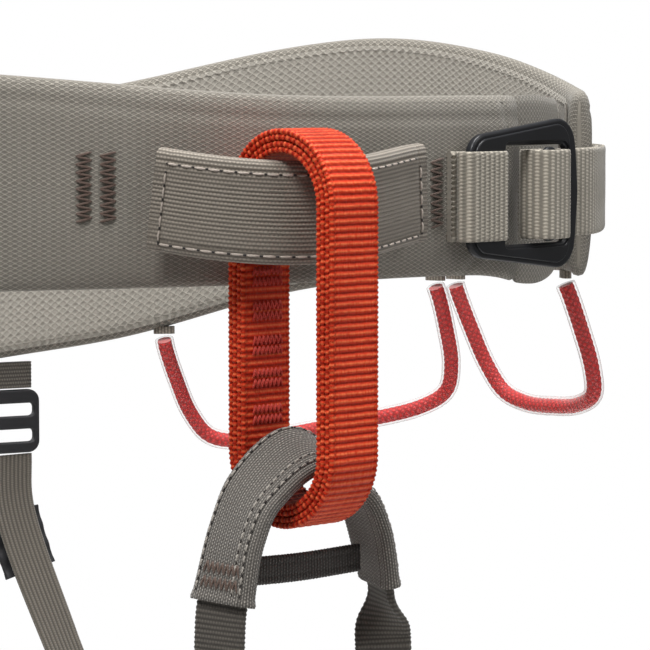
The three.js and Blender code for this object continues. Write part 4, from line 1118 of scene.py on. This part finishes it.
def build_bridge():
    webbing_relief = woven_strap_relief(1.3, 0.14, 8)
    start = arc_at_drop(SLEEVE_DROP)
    end = bridge.length - start
    core = sweep(
        "bridge_webbing_core", bridge, strap_section(15.4, 2.1, 0.42), 0.42, webbing_relief, start + 4, end - 4)
    place(coat(core, "dark"), "bridge", "dark_webbing", "leg_bridge_webbing")

    def relief(arcs, x, ny):
        weave = 0.1 * np.cos(2 * np.pi * arcs / 1.1) * np.cos(2 * np.pi * x / 0.9)
        hems = -0.35 * (bell(x + 7.2, 0.5) + bell(x - 7.6, 0.5))
        ribs = 0.2 * smoothstep(-x, 7.4, 8.0) * np.cos(2 * np.pi * x / 0.8)
        ends = 0.35 * (bell(arcs - start - 0.8, 1.2) + bell(arcs - end + 0.8, 1.2))
        return (weave + hems) * np.abs(ny) + ribs + ends

    section = strap_section(19.6, 5.2, spacing=0.3)
    sleeve = coat(sweep("bridge_sleeve_cloth", bridge, section, 0.4, relief, start, end, mouth=2.0), "bridge")
    place(sleeve, "bridge", "bridge_sleeve", "leg_bridge_sleeve")

    surface = lambda arcs, across: bridge.on_face(arcs, across, 2.7)
    arcs = np.arange(start + 3, end - 4, 2.9)
    groups = [row_of_stitches(surface, arcs, np.full(len(arcs), across), 1.9) for across in (-7.2, -4.6, 7.6)]
    rows = coat(sew("bridge_stitches", *joined(*groups), 0.24, 0.2), "dark_thread")
    place(rows, "bridge", "bridge_sleeve")
    place(stitch_hole_shade("bridge_needle_holes", groups, 0.55, 0.28), "bridge", "bridge_sleeve")
    tacks = [zigzag(surface, arc, -6.2, 12.4, 3.4, 14) for arc in (start + 5, start + 9, end - 5, end - 9)]
    place(coat(sew("bridge_bartacks", *joined(*tacks), 0.3, 0.2), "tack"), "bridge", "bridge_sleeve")

    low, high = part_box("bridge_cross_strap")
    centre = (np.array(low) + np.array(high)) / 2 / MM
    span = (high[0] - low[0]) / MM - 1.6 * math.sin(BRIDGE_TURN)
    length = span / math.cos(BRIDGE_TURN) - 0.6
    along = turned(np.array([1.0, 0, 0]), BRIDGE_TURN)
    ends = [centre - along * length / 2, centre - UP * 0.5, centre + along * length / 2]
    strap = Ribbon(smooth_path(ends), constantly(UP))
    relief = woven_strap_relief(1.1, 0.12, 3.8, 0.2)
    piece = sweep("cross_strap_webbing", strap, strap_section(7.6, 1.6, 0.35), 0.4, relief)
    place(coat(piece, "cross"), "bridge", "dark_webbing", "bridge_cross_strap")


# ---- Buckle and waist strap ----

BUCKLE_ANGLE = float(waist.angle_at(BUCKLE_ARC))
BUCKLE_OUTWARD = waist.outward(BUCKLE_ANGLE)
BUCKLE_CENTRE = on_waist(BUCKLE_ANGLE, BELT_OUT + 6, BUCKLE_Z)
BUCKLE_FRAME = (
    Matrix.Rotation(math.atan2(BUCKLE_OUTWARD[0], -BUCKLE_OUTWARD[1]) - math.radians(6), 4, "Z")
    @ Matrix.Rotation(math.pi / 2, 4, "X"))


def on_buckle(x, up, outward):
    turn = np.array(BUCKLE_FRAME.to_3x3())
    return BUCKLE_CENTRE + turn @ np.array([x, up, outward], float)


def buckle_place(outward=0.0, x=0.0):
    return Matrix.Translation(Vector(on_buckle(x, 0, outward) * MM)) @ BUCKLE_FRAME


def cut_corners(points, radii, corner_points=8):
    """An outline through points with a rounded corner of the given radius at each."""
    found = []
    points = np.asarray(points, float)
    for index, corner in enumerate(points):
        before = unit(points[index - 1] - corner)
        after = unit(points[(index + 1) % len(points)] - corner)
        half = math.acos(np.clip(before @ after, -1, 1)) / 2
        reach = radii[index] / math.tan(half)
        centre = corner + unit(before + after) * radii[index] / math.sin(half)
        first, last = corner + before * reach - centre, corner + after * reach - centre
        for share in np.linspace(0, 1, corner_points):
            found.append(centre + unit(lerp(first, last, share)) * radii[index])
    return np.array(found)


def build_buckle():
    left, right, waist_high = 24.6, BUCKLE_LENGTH / 2, 12.6
    low_left, high_left, corner = -17.4, 17.4, BUCKLE_HEIGHT / 2 + 1.6
    outline = cut_corners(
        [(-left, low_left), (right - 2, -corner), (right - 0.2, -waist_high), (right + 0.9, 0),
         (right - 0.2, waist_high), (right - 2, corner), (-left, high_left)], [7, 8, 14, 30, 14, 8, 7])
    opening_radii = [1.4, 2.4, 20, 2.4, 1.4]
    opening = cut_corners([(-9.4, -14.6), (20.4, -14.6), (21.2, 0), (20.4, 14.6), (-9.4, 14.6)], opening_radii, 5)
    base = plate("buckle_base", [outline, opening], 2.6, 0.8, buckle_place(-0.2))
    inset = cut_corners(
        [(1.6 - left, low_left + 1.3), (right - 4.6, 1.7 - corner), (right - 3.2, 0), (right - 4.6, corner - 1.7),
         (1.6 - left, high_left - 1.3)], [6, 6, 24, 6, 6])
    top_opening = cut_corners([(-9, -15.6), (20.9, -15.6), (21.2, 0), (20.9, 15.6), (-9, 15.6)], opening_radii, 5)
    cap = plate("buckle_cap", [inset, top_opening], 1.0, 0.42, buckle_place(1.25))
    place(coat(combine("buckle_frame_plate", [base, cap]), "metal"), "buckle", "black_metal", "buckle_frame")

    slide_room = 2.3
    width = BAR_WIDTH - slide_room
    middle = BAR_START + width / 2
    bar = plate("buckle_bar_base", [rounded_outline(width, 28.0, 2.6)], 1.9, 0.7, buckle_place(2.9, middle))
    ridge = plate("buckle_bar_ridge", [rounded_outline(width - 3, 26, 1.4)], 0.8, 0.35, buckle_place(4.0, middle))
    place(coat(combine("buckle_bar_plate", [bar, ridge]), "metal"), "buckle_bar", "black_metal", "buckle_slider")


def strap_relief(half_width, height=0.34):
    """Ribs across the strap, each a row of beads, with a smooth selvedge."""
    pitch = size_of("strap_rib")

    def relief(arcs, x, ny):
        ribs = np.abs(np.cos(np.pi * arcs / pitch)) ** 0.7
        beads = 0.75 + 0.25 * np.cos(2 * np.pi * (x / 1.05 + 0.5 * np.round(arcs / pitch)))
        inside = smoothstep(half_width - np.abs(x), 0.5, 1.6)
        return height * ribs * beads * lerp(0.5, 1, inside) * np.abs(ny)
    return relief


def build_anchor_webbing():
    hole_width, hole_thickness, wall = 16.3, BUCKLE_THICKNESS + 0.8, STRAP_THICKNESS
    outline = rounded_outline(hole_width + wall, hole_thickness + wall, 2.3, corner_points=6)
    edges = np.linalg.norm(np.roll(outline, -1, axis=0) - outline, axis=1)
    around = np.concatenate([[0], np.cumsum(edges)])
    closed = np.vstack([outline, outline[:1]])

    def path(shares):
        arc = (np.atleast_1d(shares) % 1) * around[-1]
        flat = np.stack([np.interp(arc, around, closed[:, axis]) for axis in (0, 1)], -1)
        turn = np.array(BUCKLE_FRAME.to_3x3())
        local = row_of(flat[:, 0] - BUCKLE_LENGTH / 2 + 15.5 / 2, 0, flat[:, 1])
        return BUCKLE_CENTRE + local @ turn.T

    height = BUCKLE_HEIGHT - 2 * 6.6 - 3
    ribbon = Ribbon(path, constantly(UP), closed=True)
    piece = sweep("anchor_webbing_turn", ribbon, strap_section(height - 0.6, 1.0, 0.3), 0.3, strap_relief(height / 2))
    place(coat(piece, "strap"), "buckle", "buckle_webbing", "buckle_anchor_webbing")


def build_anchor_tail():
    """The sewn-down end of the anchor webbing, whose cut edge shows as a row of beads on the belt."""
    height = BUCKLE_HEIGHT - 2 * 6.6 - 3

    def path(shares):
        arcs = lerp(57.6, 68, np.atleast_1d(shares))
        angle = waist.angle_at(arcs)
        return on_waist(angle, belt_thickness(angle) + 1.0 + 2.0 * smoothstep(arcs, 61, 67), BUCKLE_Z)

    ribbon = Ribbon(path, constantly(UP))

    def relief(arcs, x, ny):
        beads = 0.5 + 0.5 * np.cos(2 * np.pi * x / 1.5)
        cut = bell(arcs - 0.4, 1.1)
        return (0.55 * beads * cut + 0.2 * np.abs(np.cos(np.pi * arcs / 2.2)) * (1 - cut)) * np.abs(ny)

    piece = sweep("anchor_webbing_tail", ribbon, strap_section(height - 0.6, 1.3, 0.3), 0.25, relief)
    place(coat(piece, "strap"), "belt", "buckle_webbing")


def strap_on_belt(arc, layer):
    angle = float(waist.angle_at(arc)) - 360
    offset = BELT_OUT + flare_at(angle) + 2 * GAP + STRAP_THICKNESS / 2 + layer * (STRAP_THICKNESS + 2 * GAP)
    return on_waist(float(waist.angle_at(arc)), offset, BUCKLE_Z)


def waist_strap_ribbon():
    half = STRAP_THICKNESS / 2
    end = BUCKLE_LENGTH / 2
    rim = end - 4.6
    tail = -BUCKLE_THICKNESS / 2 - 1.5 * GAP - half
    standing = tail - STRAP_THICKNESS - 2 * GAP
    over = BUCKLE_THICKNESS / 2 + GAP + 2.6 + 1.5 * GAP + half
    left, right = BAR_START, BAR_START + BAR_WIDTH
    gap = right + 2.6
    turns = [
        (end + 13, standing - 0.9), (end, standing), (gap, standing), (left + 3.5, standing), (left, standing + 0.3),
        (left - 2.4, standing + 1.8), (left - 3.1, standing + 4.4), (left - 3, over - 3.1), (left - 2.1, over - 0.9),
        (left, over + 0.1), (left + 3, over + 0.3), (right - 2.3, over + 0.2), (right + 0.5, over - 0.1),
        (gap - 0.6, over - 1.5), (gap + 0.1, over - 4), (gap + 0.1, tail + 2), (rim - 1.5, tail + 0.4),
        (rim + 0.7, tail), (end, tail), (end + 13, tail - 0.8)]
    points = [strap_on_belt(arc, 0) for arc in np.linspace(214, OUTER_END_ARC + 11, 5)]
    points += [strap_on_belt(OUTER_END_ARC, 0)] + [on_buckle(x, 0, out) for x, out in turns]
    points += [strap_on_belt(OUTER_END_ARC, 1)]
    points += [strap_on_belt(arc, 1) for arc in np.linspace(OUTER_END_ARC + 11, 206, 5)]
    return Ribbon(smooth_path(points), constantly(UP))


def build_waist_strap():
    ribbon = waist_strap_ribbon()

    def width(arcs):
        from_tip = np.clip((ribbon.length - arcs) / 6, 0, 1)
        return 0.6 + 0.4 * np.sqrt(1 - (1 - from_tip) ** 2)

    section = strap_section(STRAP_HEIGHT - 0.6, STRAP_THICKNESS - 0.5, spacing=0.5)
    piece = sweep("waist_strap_webbing", ribbon, section, 0.36, strap_relief(STRAP_HEIGHT / 2), width=width)
    place(coat(piece, "strap"), "belt", "buckle_webbing", "waist_strap")

    surface = lambda arcs, across: (lambda found: (found[0], -found[1]))(ribbon.on_face(arcs, across, -0.85))
    tacks = [zigzag(surface, arc, -10, 20, 3.6, 18) for arc in (3.5, 9)]
    place(coat(sew("waist_strap_bartacks", *joined(*tacks), 0.3, 0.2), "tack"), "belt", "buckle_webbing")


def build_keeper():
    angle = float(waist.angle_at(KEEPER_ARC))
    flare = BELT_OUT + flare_at(angle - 360)
    outer = flare + 2 * GAP + STRAP_THICKNESS * 2 + 2 * GAP + 3 * GAP + 0.65
    half = STRAP_HEIGHT / 2 + 2 * GAP + 0.65
    profile = [(flare + 0.7, -half), (outer - 2, -half), (outer - 0.5, -half + 0.5), (outer, -half + 2),
               (outer + 0.2, 0), (outer, half - 2), (outer - 0.5, half - 0.5), (outer - 2, half), (flare + 0.7, half)]
    points = [on_waist(angle, out, BUCKLE_Z + up) for out, up in profile]
    before, after = (on_waist(float(waist.angle_at(KEEPER_ARC + shift)), 0, 0) for shift in (-1, 1))
    ahead = after - before
    ribbon = Ribbon(smooth_path(points), constantly(unit(ahead)))
    relief = lambda arcs, x, ny: 0.1 * np.cos(2 * np.pi * x / 1.5) * np.abs(ny)
    piece = sweep("strap_keeper_band", ribbon, strap_section(8.7, 1.1, 0.35), 0.5, relief)
    place(coat(piece, "elastic"), "belt", "elastic", "strap_keeper")


# ---- Gear loops and haul loop ----


def hanging_ribbon(start, end, drop, corner, tilt):
    chord = end - start
    span = np.linalg.norm(chord)
    along = chord / span
    centre = (start + end) / 2
    away = unit(centre * [1, 1, 0])
    down = -UP * math.cos(math.radians(tilt)) + away * math.sin(math.radians(tilt))
    down = unit(down - along * (down @ along))
    half = [
        (span / 2, 0), (span / 2 + 0.3, corner * 0.27), (span / 2, drop * 0.35), (span / 2 - 1.5, drop - corner),
        (span / 2 - 1.5 - corner * 0.3, drop - corner * 0.3), (span / 2 - 1.5 - corner, drop)]
    points = [centre - along * x + down * depth for x, depth in half] + [centre + down * (drop + 1)]
    points += [centre + along * x + down * depth for x, depth in half[::-1]]
    return Ribbon(smooth_path(points), constantly(np.cross(along, down)))


def build_gear_loops():
    for where, arcs in GEAR_LOOPS.items():
        for word, side in SIDES:
            angles = [side * float(waist.angle_at(arc)) for arc in arcs]
            flares = [flare_at(angle - 360) if side > 0 else 0 for angle in angles]
            ends = [
                on_waist(angle, BELT_OUT / 2 + flare, belt_edges(angle)[1] - GAP - 4.0)
                for angle, flare in zip(angles, flares)]
            ribbon = hanging_ribbon(*ends, 44, 14, 22)
            name = f"gear_loop_{where}_{word}"
            tube = sweep(f"{name}_tube", ribbon, round_section(3.3, 22), 1.1)
            place(coat(tube, "tube"), name, "clear_tube", f"{name}_sheath")
            braid = lambda a, x, ny: 0.1 * np.cos(2 * np.pi * a / 2.2 + 6 * np.arctan2(ny, x))
            cord = sweep(f"{name}_cord", ribbon, round_section(2.45, 18), 0.55, braid, 0.3, ribbon.length - 0.3)
            place(coat(cord, "cord"), name, "red_cord", f"{name}_core")
            for letter, arc, flare in zip("ab", arcs, flares):
                build_tab(f"{name}_anchor_{letter}", arc, side, flare)


def build_tab(node, arc, side, flare):
    """A short fabric tube that grips the end of a gear loop below the belt's edge."""
    reach = waist.angle_at(np.array([arc - 3.5, arc, arc + 3.5])) * side
    across = on_waist(reach[2], 0, 0) - on_waist(reach[0], 0, 0)
    low = belt_edges(float(reach[1]))[1] - GAP - 2
    points = [on_waist(float(reach[1]), BELT_OUT / 2 + flare, low + up) for up in (2.6, 1.3, 0)]
    ribbon = Ribbon(smooth_path(points), constantly(unit(across)))
    relief = lambda arcs, x, ny: 0.1 * np.cos(2 * np.pi * x / 0.9) * np.abs(ny)
    tab = sweep(f"{node}_cloth", ribbon, strap_section(7.4, 3.0, 0.3), 0.3, relief)
    place(coat(tab, "tie_in"), "belt", "dark_webbing", node)


def build_haul_loop():
    middle = waist.perimeter / 2
    arcs = (middle - 22, middle + 22)
    angles = [float(waist.angle_at(arc)) for arc in arcs]
    start, end = (on_waist(angle, BELT_OUT + 5.2, -18) for angle in angles)
    ribbon = hanging_ribbon(start, end, 34, 12, 0)
    braid = lambda a, x, ny: 0.14 * np.cos(2 * np.pi * a / 2.4 + 4 * np.arctan2(ny, x)) - 0.1
    piece = sweep("haul_loop_cord", ribbon, round_section(2.5, 24), 0.45, braid, 0.3, ribbon.length - 0.3)
    place(coat(piece, "dark"), "haul_loop", "dark_webbing", "haul_loop")
    for letter, angle in zip("ab", angles):
        outward = row_of(*waist.outward(angle), 0)
        across = np.cross(UP, outward)
        foot = on_waist(angle, BELT_OUT + 3.1, 0)
        points = [foot + UP * (-15.5 + up) + outward * out for up, out in ((0, 1.4), (3, 0.9), (7.6, -1.2))]
        ribbon = Ribbon(smooth_path(points), constantly(across))
        relief = woven_strap_relief(1.2, 0.1, 3.4, 0.14)
        tab = sweep(f"haul_loop_tab_{letter}", ribbon, strap_section(6.8, 4.2, 0.4), 0.4, relief)
        place(coat(tab, "dark"), "belt", "dark_webbing", f"haul_loop_anchor_{letter}")


# ---- Leg loops ----

LEG_ACROSS = np.array([0, math.cos(LEG_TILT), -math.sin(LEG_TILT)])
LEG_AXIS = np.array([0, math.sin(LEG_TILT), math.cos(LEG_TILT)])


def on_leg(side, angle, offset, height):
    flat = thigh.at(angle, offset)
    spot = row_of(side * (LEG_CENTRE[0] + flat[..., 0]), LEG_CENTRE[1], LEG_CENTRE[2])
    return spot + LEG_ACROSS * flat[..., 1:2] + LEG_AXIS * np.asarray(height)[..., None]


def leg_outward(side, angle):
    flat = thigh.outward(angle)
    return row_of(side * flat[..., 0], 0, 0) + LEG_ACROSS * flat[..., 1:2]


def cuff_half_height(angle):
    rear = (1 - np.cos(np.radians(angle))) / 2
    ends = smoothstep(angle, CUFF_END - 40, CUFF_END)
    return (lerp(44, 72, rear) - 26 * ends) / 2


def build_leg_loop(word, side):
    body = f"leg_{word}"
    spot = lambda arcs, offsets, heights: on_leg(side, thigh.angle_at(arcs), offsets, heights)
    start, end = (float(thigh.arc_at(angle)) for angle in (CUFF_START, CUFF_END))

    def band(name, low, high, inner, outer, half_at, finish, relief=None, round_off=4.0, step=1.8, count=84):
        arcs = ended_arcs(low, high, step)
        half = half_at(thigh.angle_at(arcs))
        rows, along, around = pad_rows(
            spot, arcs, np.zeros(len(arcs)), half, np.full(len(arcs), inner), np.full(len(arcs), outer), relief,
            end_round=round_off, count=count)
        return coat(skin(name, rows, along, around), finish)

    wavy = lambda arcs, heights: 0.4 * np.sin(arcs * 0.07 + heights * 0.05) * np.sin(heights * 0.12 + 0.6)
    pad = band(f"{body}_padding", start, end, 0.8, LEG_SURFACE, cuff_half_height, "belt_fabric", wavy)
    place(pad, body, "belt_fabric", f"{body}_foam", f"{body}_shell")
    lining = band(
        f"{body}_mesh_lining", start + 3, end - 3, 0, LINING_DEPTH, lambda angle: cuff_half_height(angle) - 2.6,
        "lining", round_off=2.0)
    place(lining, body, "lining", f"{body}_lining")

    first = CUFF_START + 2 * CUFF_STEP
    last = first + 36 * CUFF_STEP

    def ring(angle_low, angle_high, offset, width, thickness, name, finish, relief):
        def path(shares):
            angles = lerp(angle_low, angle_high, np.atleast_1d(shares))
            return on_leg(side, angles, np.full(np.size(shares), offset), 0.0)

        ribbon = Ribbon(path, constantly(LEG_AXIS))
        return coat(sweep(name, ribbon, strap_section(width, thickness, 0.6), 0.7, relief), finish)

    webbing_relief = woven_strap_relief(2.1, 0.14, 9.8, 0.2)
    outer = LEG_SURFACE + GAP + 0.75
    piece = ring(first, last, outer, 19.6, 1.15, f"{body}_load_tape", "dark", webbing_relief)
    place(piece, body, "dark_webbing", f"{body}_webbing")
    ribs = lambda arcs, x, ny: 0.12 * np.cos(2 * np.pi * x / 1.5) * np.abs(ny)
    piece = ring(CUFF_END + 1, CUFF_START + 359, 1.9, 24.6, 1.0, f"{body}_elastic_band", "elastic", ribs)
    place(piece, body, "elastic", f"{body}_elastic")
    build_leg_strap(word, side)
    build_cuff_stitches(body, side, start, end)


def build_cuff_stitches(body, side, start, end):
    groups = []
    arcs = np.arange(start + 6, end - 8, 3.2)
    for edge in (1, -1):
        half = cuff_half_height(thigh.angle_at(arcs)) - 3.4
        angle, after = thigh.angle_at(arcs), thigh.angle_at(arcs + 2.2)
        offset = LEG_SURFACE - 0.25
        groups.append((
            on_leg(side, angle, np.full(len(arcs), offset), edge * half),
            on_leg(side, after, np.full(len(arcs), offset), edge * half), leg_outward(side, angle)))
    place(coat(sew(f"{body}_edge_stitches", *joined(*groups), 0.18, 0.35), "tack"), body, "belt_fabric")


def build_leg_strap(word, side):
    """One strap per leg, out of the bridge's sleeve and down onto the cuff."""
    body = f"leg_{word}"
    end_share = 1.0 if side > 0 else 0.0
    hidden = arc_at_drop(SLEEVE_DROP) + 3.2
    arcs = np.linspace(hidden, 0, 4)
    arm = bridge.path(bridge.shares(bridge.length - arcs if side > 0 else arcs))
    onwards = unit(arm[-1] - arm[-2])
    angle = CUFF_START + 9.0
    offset = LEG_SURFACE + GAP + 1.2 + 0.8
    edge = float(cuff_half_height(angle))
    on_cuff = lambda height: on_leg(side, angle, offset, height)
    foot = on_cuff(edge + 1)
    clear = arm[-1] + onwards * 5
    points = [*arm, clear, lerp(clear, foot, 0.6), foot, on_cuff(edge - 9), on_cuff(-8.0)]
    top_side = bridge_side([end_share])[0]
    end_side = unit(on_leg(side, CUFF_START, 0.0, 0.0) - on_leg(side, CUFF_START + 18.0, 0.0, 0.0))

    middle_side = unit(np.array(LEG_STRAP_FACING)) if side > 0 else top_side
    if end_side @ middle_side < 0:
        end_side = -end_side

    def side_at(shares):
        shares = np.atleast_1d(shares)
        opened = smoothstep(shares, 0.12, 0.42)[:, None]
        landed = smoothstep(shares, 0.55, 0.95)[:, None]
        return unit(lerp(lerp(top_side, middle_side, opened), end_side, landed))

    ribbon = Ribbon(smooth_path(points), side_at)
    relief = woven_strap_relief(1.3, 0.14, 8)
    piece = sweep(f"{body}_front_strap", ribbon, strap_section(15.4, 2.0, 0.42), 0.42, relief)
    coat(piece, "dark")
    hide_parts(f"{body}_strap")
    joint = arm[-1]
    (joint + [0, 0, 6]) * MM
    (joint - [0, 0, 8]) * MM
    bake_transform(piece)


# ---- Rear risers ----


def build_riser(word, side):
    body = f"leg_{word}"
    bottom = float(belt_edges(180)[1])
    rear = WAIST_SIZE[1] + BELT_OUT / 2
    x = side * RISER_X
    hanger_top = bottom - 2 * GAP
    points = [(x, rear, hanger_top + shift) for shift in (0, -3, -6, -9)]
    hanger = Ribbon(smooth_path(points), constantly((1, 0, 0)))
    relief = woven_strap_relief(1.3, 0.12, 7.3, 0.16)
    piece = sweep(f"riser_{word}_hanger_loop", hanger, strap_section(14.6, 2.9, 0.4), 0.4, relief)
    place(coat(piece, "dark"), "belt", "dark_webbing", f"riser_{word}_hanger")

    hook_top = hanger_top - 9 - 2 * GAP
    outlines = [rounded_outline(20, 22, 4)] + [rounded_outline(16, 4.5, 1.5, (0, up), 4) for up in (4, -5)]
    spot = Matrix.Translation(Vector((x, rear, hook_top - 11)) * MM) @ Matrix.Rotation(math.pi / 2, 4, "X")
    hook = coat(plate(f"riser_{word}_hook_plate", outlines, 2.9, 0.7, spot), "plastic")
    place(hook, body, "black_plastic", f"riser_{word}_hook")

    strap_top = hook_top - 22 - 2 * GAP
    leg_angle = 180 + math.degrees(math.asin((LEG_CENTRE[0] - 50) / LEG_SIZE[0]))
    half = float(cuff_half_height(leg_angle))
    out = LEG_SURFACE + 3 * GAP + 0.8
    landing, end = on_leg(side, leg_angle, out, half + 2), on_leg(side, leg_angle, out, 11.0)
    top = np.array([x, rear, strap_top])
    middle = (top + landing) / 2 + np.array([-side * 4, 3, 0])
    leg_side = unit(on_leg(side, leg_angle + 5, 0.0, 0.0) - on_leg(side, leg_angle - 5, 0.0, 0.0))

    def side_at(shares):
        turn = smoothstep(np.atleast_1d(shares), 0.3, 0.95)[:, None]
        sideways = np.array([-side, 0, 0])
        return unit(sideways + (leg_side - sideways) * turn)

    ribbon = Ribbon(smooth_path([top, top + np.array([side * 0.5, -0.5, -18]), middle, landing, end]), side_at)
    ribs = lambda arcs, x, ny: (0.12 * np.cos(2 * np.pi * x / 1.5) + 0.04 * np.cos(2 * np.pi * arcs / 1.6)) * np.abs(ny)
    piece = sweep(f"riser_{word}_elastic_tape", ribbon, strap_section(14.7, 1.3, 0.35), 0.6, ribs)
    place(coat(piece, "elastic"), body, "elastic", f"riser_{word}_strap")

    on_slider = lambda shares: lerp(0.26, 0.38, np.atleast_1d(shares))
    slider = Ribbon(lambda shares: ribbon.path(on_slider(shares)), lambda shares: side_at(on_slider(shares)))
    raised = lambda arcs: 2.6 + 0 * arcs
    ridges = lambda arcs, x, ny: 0.28 * np.cos(2 * np.pi * arcs / slider.length * 3) * np.abs(ny)
    piece = sweep(f"riser_{word}_ladder_lock", slider, strap_section(19.6, 1.8, 0.8), 0.4, ridges, lift=raised)
    place(coat(piece, "plastic"), body, "black_plastic", f"riser_{word}_slider")


# ---- Stage ----

FLOOR_DROP = 150
CAMERA_SPOT = (-387.3, -870.8, 30.0)
CAMERA_TARGET = (10.5, -122.6, -37.4)


def build_stage():
    low = CAD_BOX[0][2] - FLOOR_DROP * MM
    bpy.ops.mesh.primitive_grid_add(x_subdivisions=8, y_subdivisions=8, size=1.0, location=(0, 0, low))
    floor = bpy.context.object
    floor.name = "floor"
    floor.data.materials.append(plain_floor("Plain floor", (0.8, 0.8, 0.795, 1)))

    scene = bpy.context.scene
    lens = bpy.data.cameras.new("camera")
    lens.lens, lens.sensor_width, lens.clip_end = 169.34, 36, 20
    camera = bpy.data.objects.new("camera", lens)
    scene.collection.objects.link(camera)
    spot, target = Vector(CAMERA_SPOT) * MM, Vector(CAMERA_TARGET) * MM
    camera.location = spot
    camera.rotation_euler = (target - spot).to_track_quat("-Z", "Y").to_euler()
    scene.camera = camera

    for name, spot, size, power in (
            ("key_light", (-0.8, -0.8, 1.5), 0.6, 27), ("side_light", (1.2, -1.1, 0.9), 0.8, 7),
            ("top_light", (0.1, -0.1, 1.6), 1.0, 36), ("rear_light", (-0.6, 1.5, 0.7), 1.2, 9)):
        lamp = bpy.data.lights.new(name, "AREA")
        lamp.shape, lamp.size, lamp.energy = "DISK", size, power
        light = bpy.data.objects.new(name, lamp)
        light.location = spot
        light.rotation_euler = (Vector((0, -0.05, -0.05)) - Vector(spot)).to_track_quat("-Z", "Y").to_euler()
        scene.collection.objects.link(light)

    world = bpy.data.worlds.new("Studio")
    world.use_nodes = True
    scene.world = world
    nodes, links = world.node_tree.nodes, world.node_tree.links
    ray = nodes.new("ShaderNodeLightPath")
    level = nodes.new("ShaderNodeMapRange")
    level.inputs["To Min"].default_value, level.inputs["To Max"].default_value = 0.26, 1.0
    links.new(ray.outputs["Is Camera Ray"], level.inputs["Value"])
    links.new(level.outputs[0], nodes["Background"].inputs["Strength"])
    nodes["Background"].inputs["Color"].default_value = (1, 1, 1, 1)
    scene.view_settings.view_transform = "Standard"


# ---- Operators and panel ----


class HARNESS_OT_stage(bpy.types.Operator):
    """Sets the floor, the lights and the camera"""
    bl_idname = "harness.stage"
    bl_label = "Stage"

    def execute(self, context):
        build_stage()
        return {"FINISHED"}


class HARNESS_OT_waist_belt(bpy.types.Operator):
    """Makes the padded belt, its lining, its flap and its sewing"""
    bl_idname = "harness.waist_belt"
    bl_label = "Waist belt"

    def execute(self, context):
        build_belt()
        build_belt_stitches()
        build_flap()
        return {"FINISHED"}


class HARNESS_OT_tie_in(bpy.types.Operator):
    """Makes the sleeved upper tie-in and its stitching"""
    bl_idname = "harness.tie_in"
    bl_label = "Upper tie-in"

    def execute(self, context):
        build_tie_in()
        return {"FINISHED"}


class HARNESS_OT_belay_loop(bpy.types.Operator):
    """Makes the four plies of the belay loop and their bartacks"""
    bl_idname = "harness.belay_loop"
    bl_label = "Belay loop"

    def execute(self, context):
        build_belay_loop()
        return {"FINISHED"}


class HARNESS_OT_bridge(bpy.types.Operator):
    """Makes the lower tie-in: webbing, sleeve, cross strap and stitching"""
    bl_idname = "harness.bridge"
    bl_label = "Lower tie-in"

    def execute(self, context):
        build_bridge()
        return {"FINISHED"}


class HARNESS_OT_buckle(bpy.types.Operator):
    """Makes the buckle's plates, its anchor webbing, the waist strap and the keeper"""
    bl_idname = "harness.buckle"
    bl_label = "Buckle and strap"

    def execute(self, context):
        build_buckle()
        build_anchor_webbing()
        build_anchor_tail()
        build_waist_strap()
        build_keeper()
        return {"FINISHED"}


class HARNESS_OT_gear_loops(bpy.types.Operator):
    """Makes the four gear loops, the haul loop and their tabs"""
    bl_idname = "harness.gear_loops"
    bl_label = "Gear and haul loops"

    def execute(self, context):
        build_gear_loops()
        build_haul_loop()
        return {"FINISHED"}


class HARNESS_OT_leg_loops(bpy.types.Operator):
    """Makes both leg loops with their straps and stitching"""
    bl_idname = "harness.leg_loops"
    bl_label = "Leg loops"

    def execute(self, context):
        for word, side in SIDES:
            build_leg_loop(word, side)
        return {"FINISHED"}


class HARNESS_OT_risers(bpy.types.Operator):
    """Makes both rear risers with their hooks and sliders"""
    bl_idname = "harness.risers"
    bl_label = "Rear risers"

    def execute(self, context):
        for word, side in SIDES:
            build_riser(word, side)
        return {"FINISHED"}


STEPS = (
    HARNESS_OT_stage, HARNESS_OT_waist_belt, HARNESS_OT_tie_in, HARNESS_OT_belay_loop, HARNESS_OT_bridge,
    HARNESS_OT_buckle, HARNESS_OT_gear_loops, HARNESS_OT_leg_loops, HARNESS_OT_risers)


class HARNESS_PT_panel(bpy.types.Panel):
    """Sizes, colours and steps of the harness"""
    bl_label = "Climbing Harness"
    bl_idname = "HARNESS_PT_panel"
    bl_space_type = "VIEW_3D"
    bl_region_type = "UI"
    bl_category = "Harness"

    def draw(self, context):
        layout = self.layout
        for group in (context.scene.harness_sizes, context.scene.harness_colours):
            box = layout.box()
            for name in group.__annotations__:
                box.prop(group, name)
        for step in STEPS:
            layout.operator(step.bl_idname)


CLASSES = (HarnessColours, HarnessSizes, *STEPS, HARNESS_PT_panel)


def register():
    for item in CLASSES:
        bpy.utils.register_class(item)
    bpy.types.Scene.harness_colours = bpy.props.PointerProperty(type=HarnessColours)
    bpy.types.Scene.harness_sizes = bpy.props.PointerProperty(type=HarnessSizes)


def unregister():
    del bpy.types.Scene.harness_colours
    del bpy.types.Scene.harness_sizes
    for item in reversed(CLASSES):
        bpy.utils.unregister_class(item)


def main():
    register()
    bpy.ops.harness.stage()
    bpy.ops.harness.waist_belt()
    bpy.ops.harness.tie_in()
    bpy.ops.harness.belay_loop()
    bpy.ops.harness.bridge()
    bpy.ops.harness.buckle()
    bpy.ops.harness.gear_loops()
    bpy.ops.harness.leg_loops()
    bpy.ops.harness.risers()


if __name__ == "__main__":
    main()
